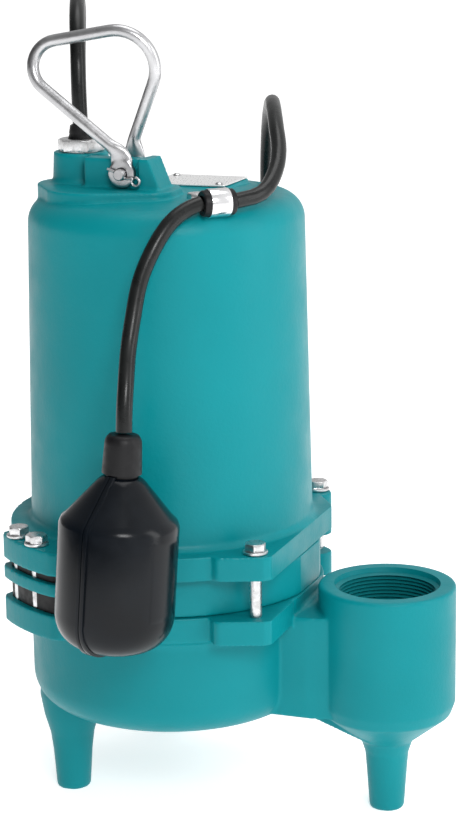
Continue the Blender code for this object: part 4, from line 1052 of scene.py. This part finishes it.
def tie(name, centre, angle):
    """A strap round a coil's section."""
    middle = (COIL_OUTER_LINE + COIL_INNER_LINE) / 2.0
    x, y = polar(middle, angle)
    at = Matrix.Translation((centre[0] + x, centre[1] + y, 0.0)) \
        @ Matrix.Rotation(math.radians(angle), 4, "Z") @ UPRIGHT
    wide, low, high, corner = 0.0196, 0.0010, 0.0205, 0.0045
    loop = []
    reach = wide - corner
    for cx, cz, first in ((reach, high - corner, 0.0), (-reach, high - corner, 90.0),
                          (-reach, low + corner, 180.0), (reach, low + corner, 270.0)):
        loop += arc((cx, cz), corner, first, first + 90.0, 8)
    path = [at @ Vector((px, pz, 0.0)) for px, pz in loop]
    side = Matrix.Rotation(math.radians(angle), 3, "Z") @ Vector((0.0, 1.0, 0.0))
    strap = finish(f"{name}_strap", sweep(bmesh.new(), path, lambda t: (0.0008, 0.0042),
                                          side=side, closed=True), PLASTIC, 60.0)
    mount(strap, "casing", "black_plastic", f"{name}_tie")
    return strap


def plug_pieces(prefix, origin, heading, half_width, body_length):
    at = Matrix.Translation(origin) @ heading.to_track_quat("X", "Z").to_matrix().to_4x4()
    start = 0.052
    end = start + body_length
    half = 0.0112
    z = PLUG_Z
    bm = bmesh.new()
    box(bm, (start + 0.005, -half_width, z - half), (end, half_width, z + half), at)
    box(bm, (start - 0.001, -half_width + 0.0035, z - half + 0.0030),
        (start + 0.012, half_width - 0.0035, z + half - 0.0030), at)
    body = finish(f"{prefix}_shell", bm, RUBBER)
    soften(body, 0.0009, 4, 0.6)
    ribs = []
    for k in range(5):
        x = start + 0.012 + 0.0036 * k
        for side in (-1, 1):
            y = side * (half_width - 0.0003)
            low = (x, min(y, y + side * 0.0003) - 0.0005, z - 0.0065)
            high = (x + 0.0016, max(y, y + side * 0.0003) + 0.0002, z + 0.0065)
            ribs.append(finish("rib", box(bmesh.new(), low, high, at), RUBBER))
    line = [Vector((x, 0.0, h)) for x, h in ((0.0240, 0.0131), (0.030, 0.0126),
                                              (0.038, z), (0.046, z), (0.053, z))]
    path = [at @ p for p in spline(line, 0.0009)]

    def section(t):
        ridge = 0.0004 * math.sin(t * 44.0)
        return (0.0052 + 0.0012 * t + ridge, 0.0052 + 0.0012 * t + ridge)

    boot = finish("boot", sweep(bmesh.new(), path, section), RUBBER, 60.0)
    whole = join(f"{prefix}_shell", [body, boot] + ribs)
    shade(whole, 40.0)
    mount(whole, "casing", "black_rubber", f"{prefix}_body")
    pieces = [whole]
    for number, side in ((1, -1), (2, 1)):
        middle = side * 0.00635
        outline = ((end + 0.0003, z + 0.0005), (end + 0.0165, z + 0.0005),
                   (end + 0.0173, z + 0.0013), (end + 0.0173, z + 0.0060),
                   (end + 0.0165, z + 0.0068), (end + 0.0003, z + 0.0068))
        lie = at @ Matrix.Translation((0.0, middle, 0.0)) @ UPRIGHT
        blade = finish(f"{prefix}_blade_{number}_detail",
                       prism(bmesh.new(), outline, -0.0008, 0.0008, lie), BRASS)
        drill = Matrix.Translation((end + 0.0135, z + 0.0036, 0.0))
        carve(blade, cutter_cylinder(0.0014, -0.003, 0.003, 24, lie @ drill))
        bevelled(blade, 0.0002)
        mount(blade, "casing", "brass_contact", f"{prefix}_blade_{number}")
        pieces.append(blade)
    forward = at @ Matrix.Translation((end + 0.0003, 0.0, z - 0.0060)) \
        @ Matrix.Rotation(math.pi / 2, 4, "Y")
    pin = [(0.0, 0.0190), (0.0012, 0.0188), (0.0021, 0.0178), (0.0024, 0.0160),
           (0.0024, 0.0), (0.0, 0.0)]
    ground = finish(f"{prefix}_ground_detail", lathe(bmesh.new(), pin, 32, at=forward), BRASS)
    mount(ground, "casing", "brass_contact", f"{prefix}_ground_pin")
    pieces.append(ground)
    return pieces


def cords():
    jobs = (
        ("power_cord", POWER_ROUTE, COIL_POWER, 202.0, 6.0 + 30.0 / 360.0, -1, 60.0, "power_plug",
         0.0125, 0.034),
        ("float_cord", FLOAT_ROUTE, COIL_FLOAT, -10.0, 5.0 + 100.0 / 360.0, 1, 200.0,
         "piggyback_plug", 0.0135, 0.040),
    )
    for name, route, centre, start, turns, turning, strap, plug, half_width, length in jobs:
        angle = start + 360.0 * turning * turns
        x, y = polar(COIL_OUTER_LINE, angle)
        origin = Vector((centre[0] + x, centre[1] + y, 0.0))
        heading = Vector(polar(1.0, angle + 90.0 * turning)).to_3d()
        pieces = plug_pieces(plug, origin, heading, half_width, length)
        pieces.append(tie(name, centre, strap))
        coil = winding(centre, start, turns, turning)
        cord(f"{name}_line", route, coil, origin, heading, (name, f"{name}_coil"))


# ---------------------------------------------------------------- floor and inner pieces
def floor():
    bm = bmesh.new()
    corners = ((-1, -1), (1, -1), (1, 1), (-1, 1))
    bm.faces.new([bm.verts.new((FLOOR_HALF * x, FLOOR_HALF * y, 0.0)) for x, y in corners])
    mat = shader("pale_floor", (0.93, 0.93, 0.93), 0.75, Specular_IOR_Level=0.1,
                 Emission_Color=(1.0, 1.0, 1.0, 1.0), Emission_Strength=0.62)
    relief(mat, ((6.0, 0.02, 0.001),))
    finish("floor", bm, mat)


def inner_pieces():
    """Better materials for the CAD pieces that stay."""
    looks = {
        "volute_gasket": PAINT, "housing_o_ring": RUBBER, "stator_core": LAMINATE,
        "stator_winding_upper": COPPER, "stator_winding_lower": COPPER,
        "upper_bearing_outer": BEARING, "upper_bearing_inner": BEARING,
        "lower_bearing_outer": BEARING, "lower_bearing_inner": BEARING,
        "seal_seat": CERAMIC, "seal_head": BEARING, "seal_spring": STAINLESS,
        "run_capacitor": CAPACITOR, "thermal_protector": CAPACITOR,
        "motor_shaft": STAINLESS, "rotor_core": LAMINATE, "impeller": IRON,
        "impeller_nut": ZINC, "switch_capsule": PLASTIC, "switch_ball": STAINLESS,
    }
    for name, mat in looks.items():
        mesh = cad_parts[name].data
        mesh.materials.clear()
        mesh.materials.append(mat)


camera()
cords()
studio()
floor()
motor_housing()
seal_plate()
# Painted shade: black pads in the gaps of the stacked ears.
ear_gap_shade_pads()
volute_casing()
for number, angle in enumerate(LONG_BOLTS, 1):
    bolt(f"casing_bolt_{number}", angle, 0.1205, angle + 11.0 * number)
for number, angle in enumerate(PLATE_SCREWS, 1):
    bolt(f"plate_screw_{number}", angle, 0.1455, angle + 23.0 * number)
gland()
clevis()
handle()
nameplate()
clamp()
float_switch()
inner_pieces()
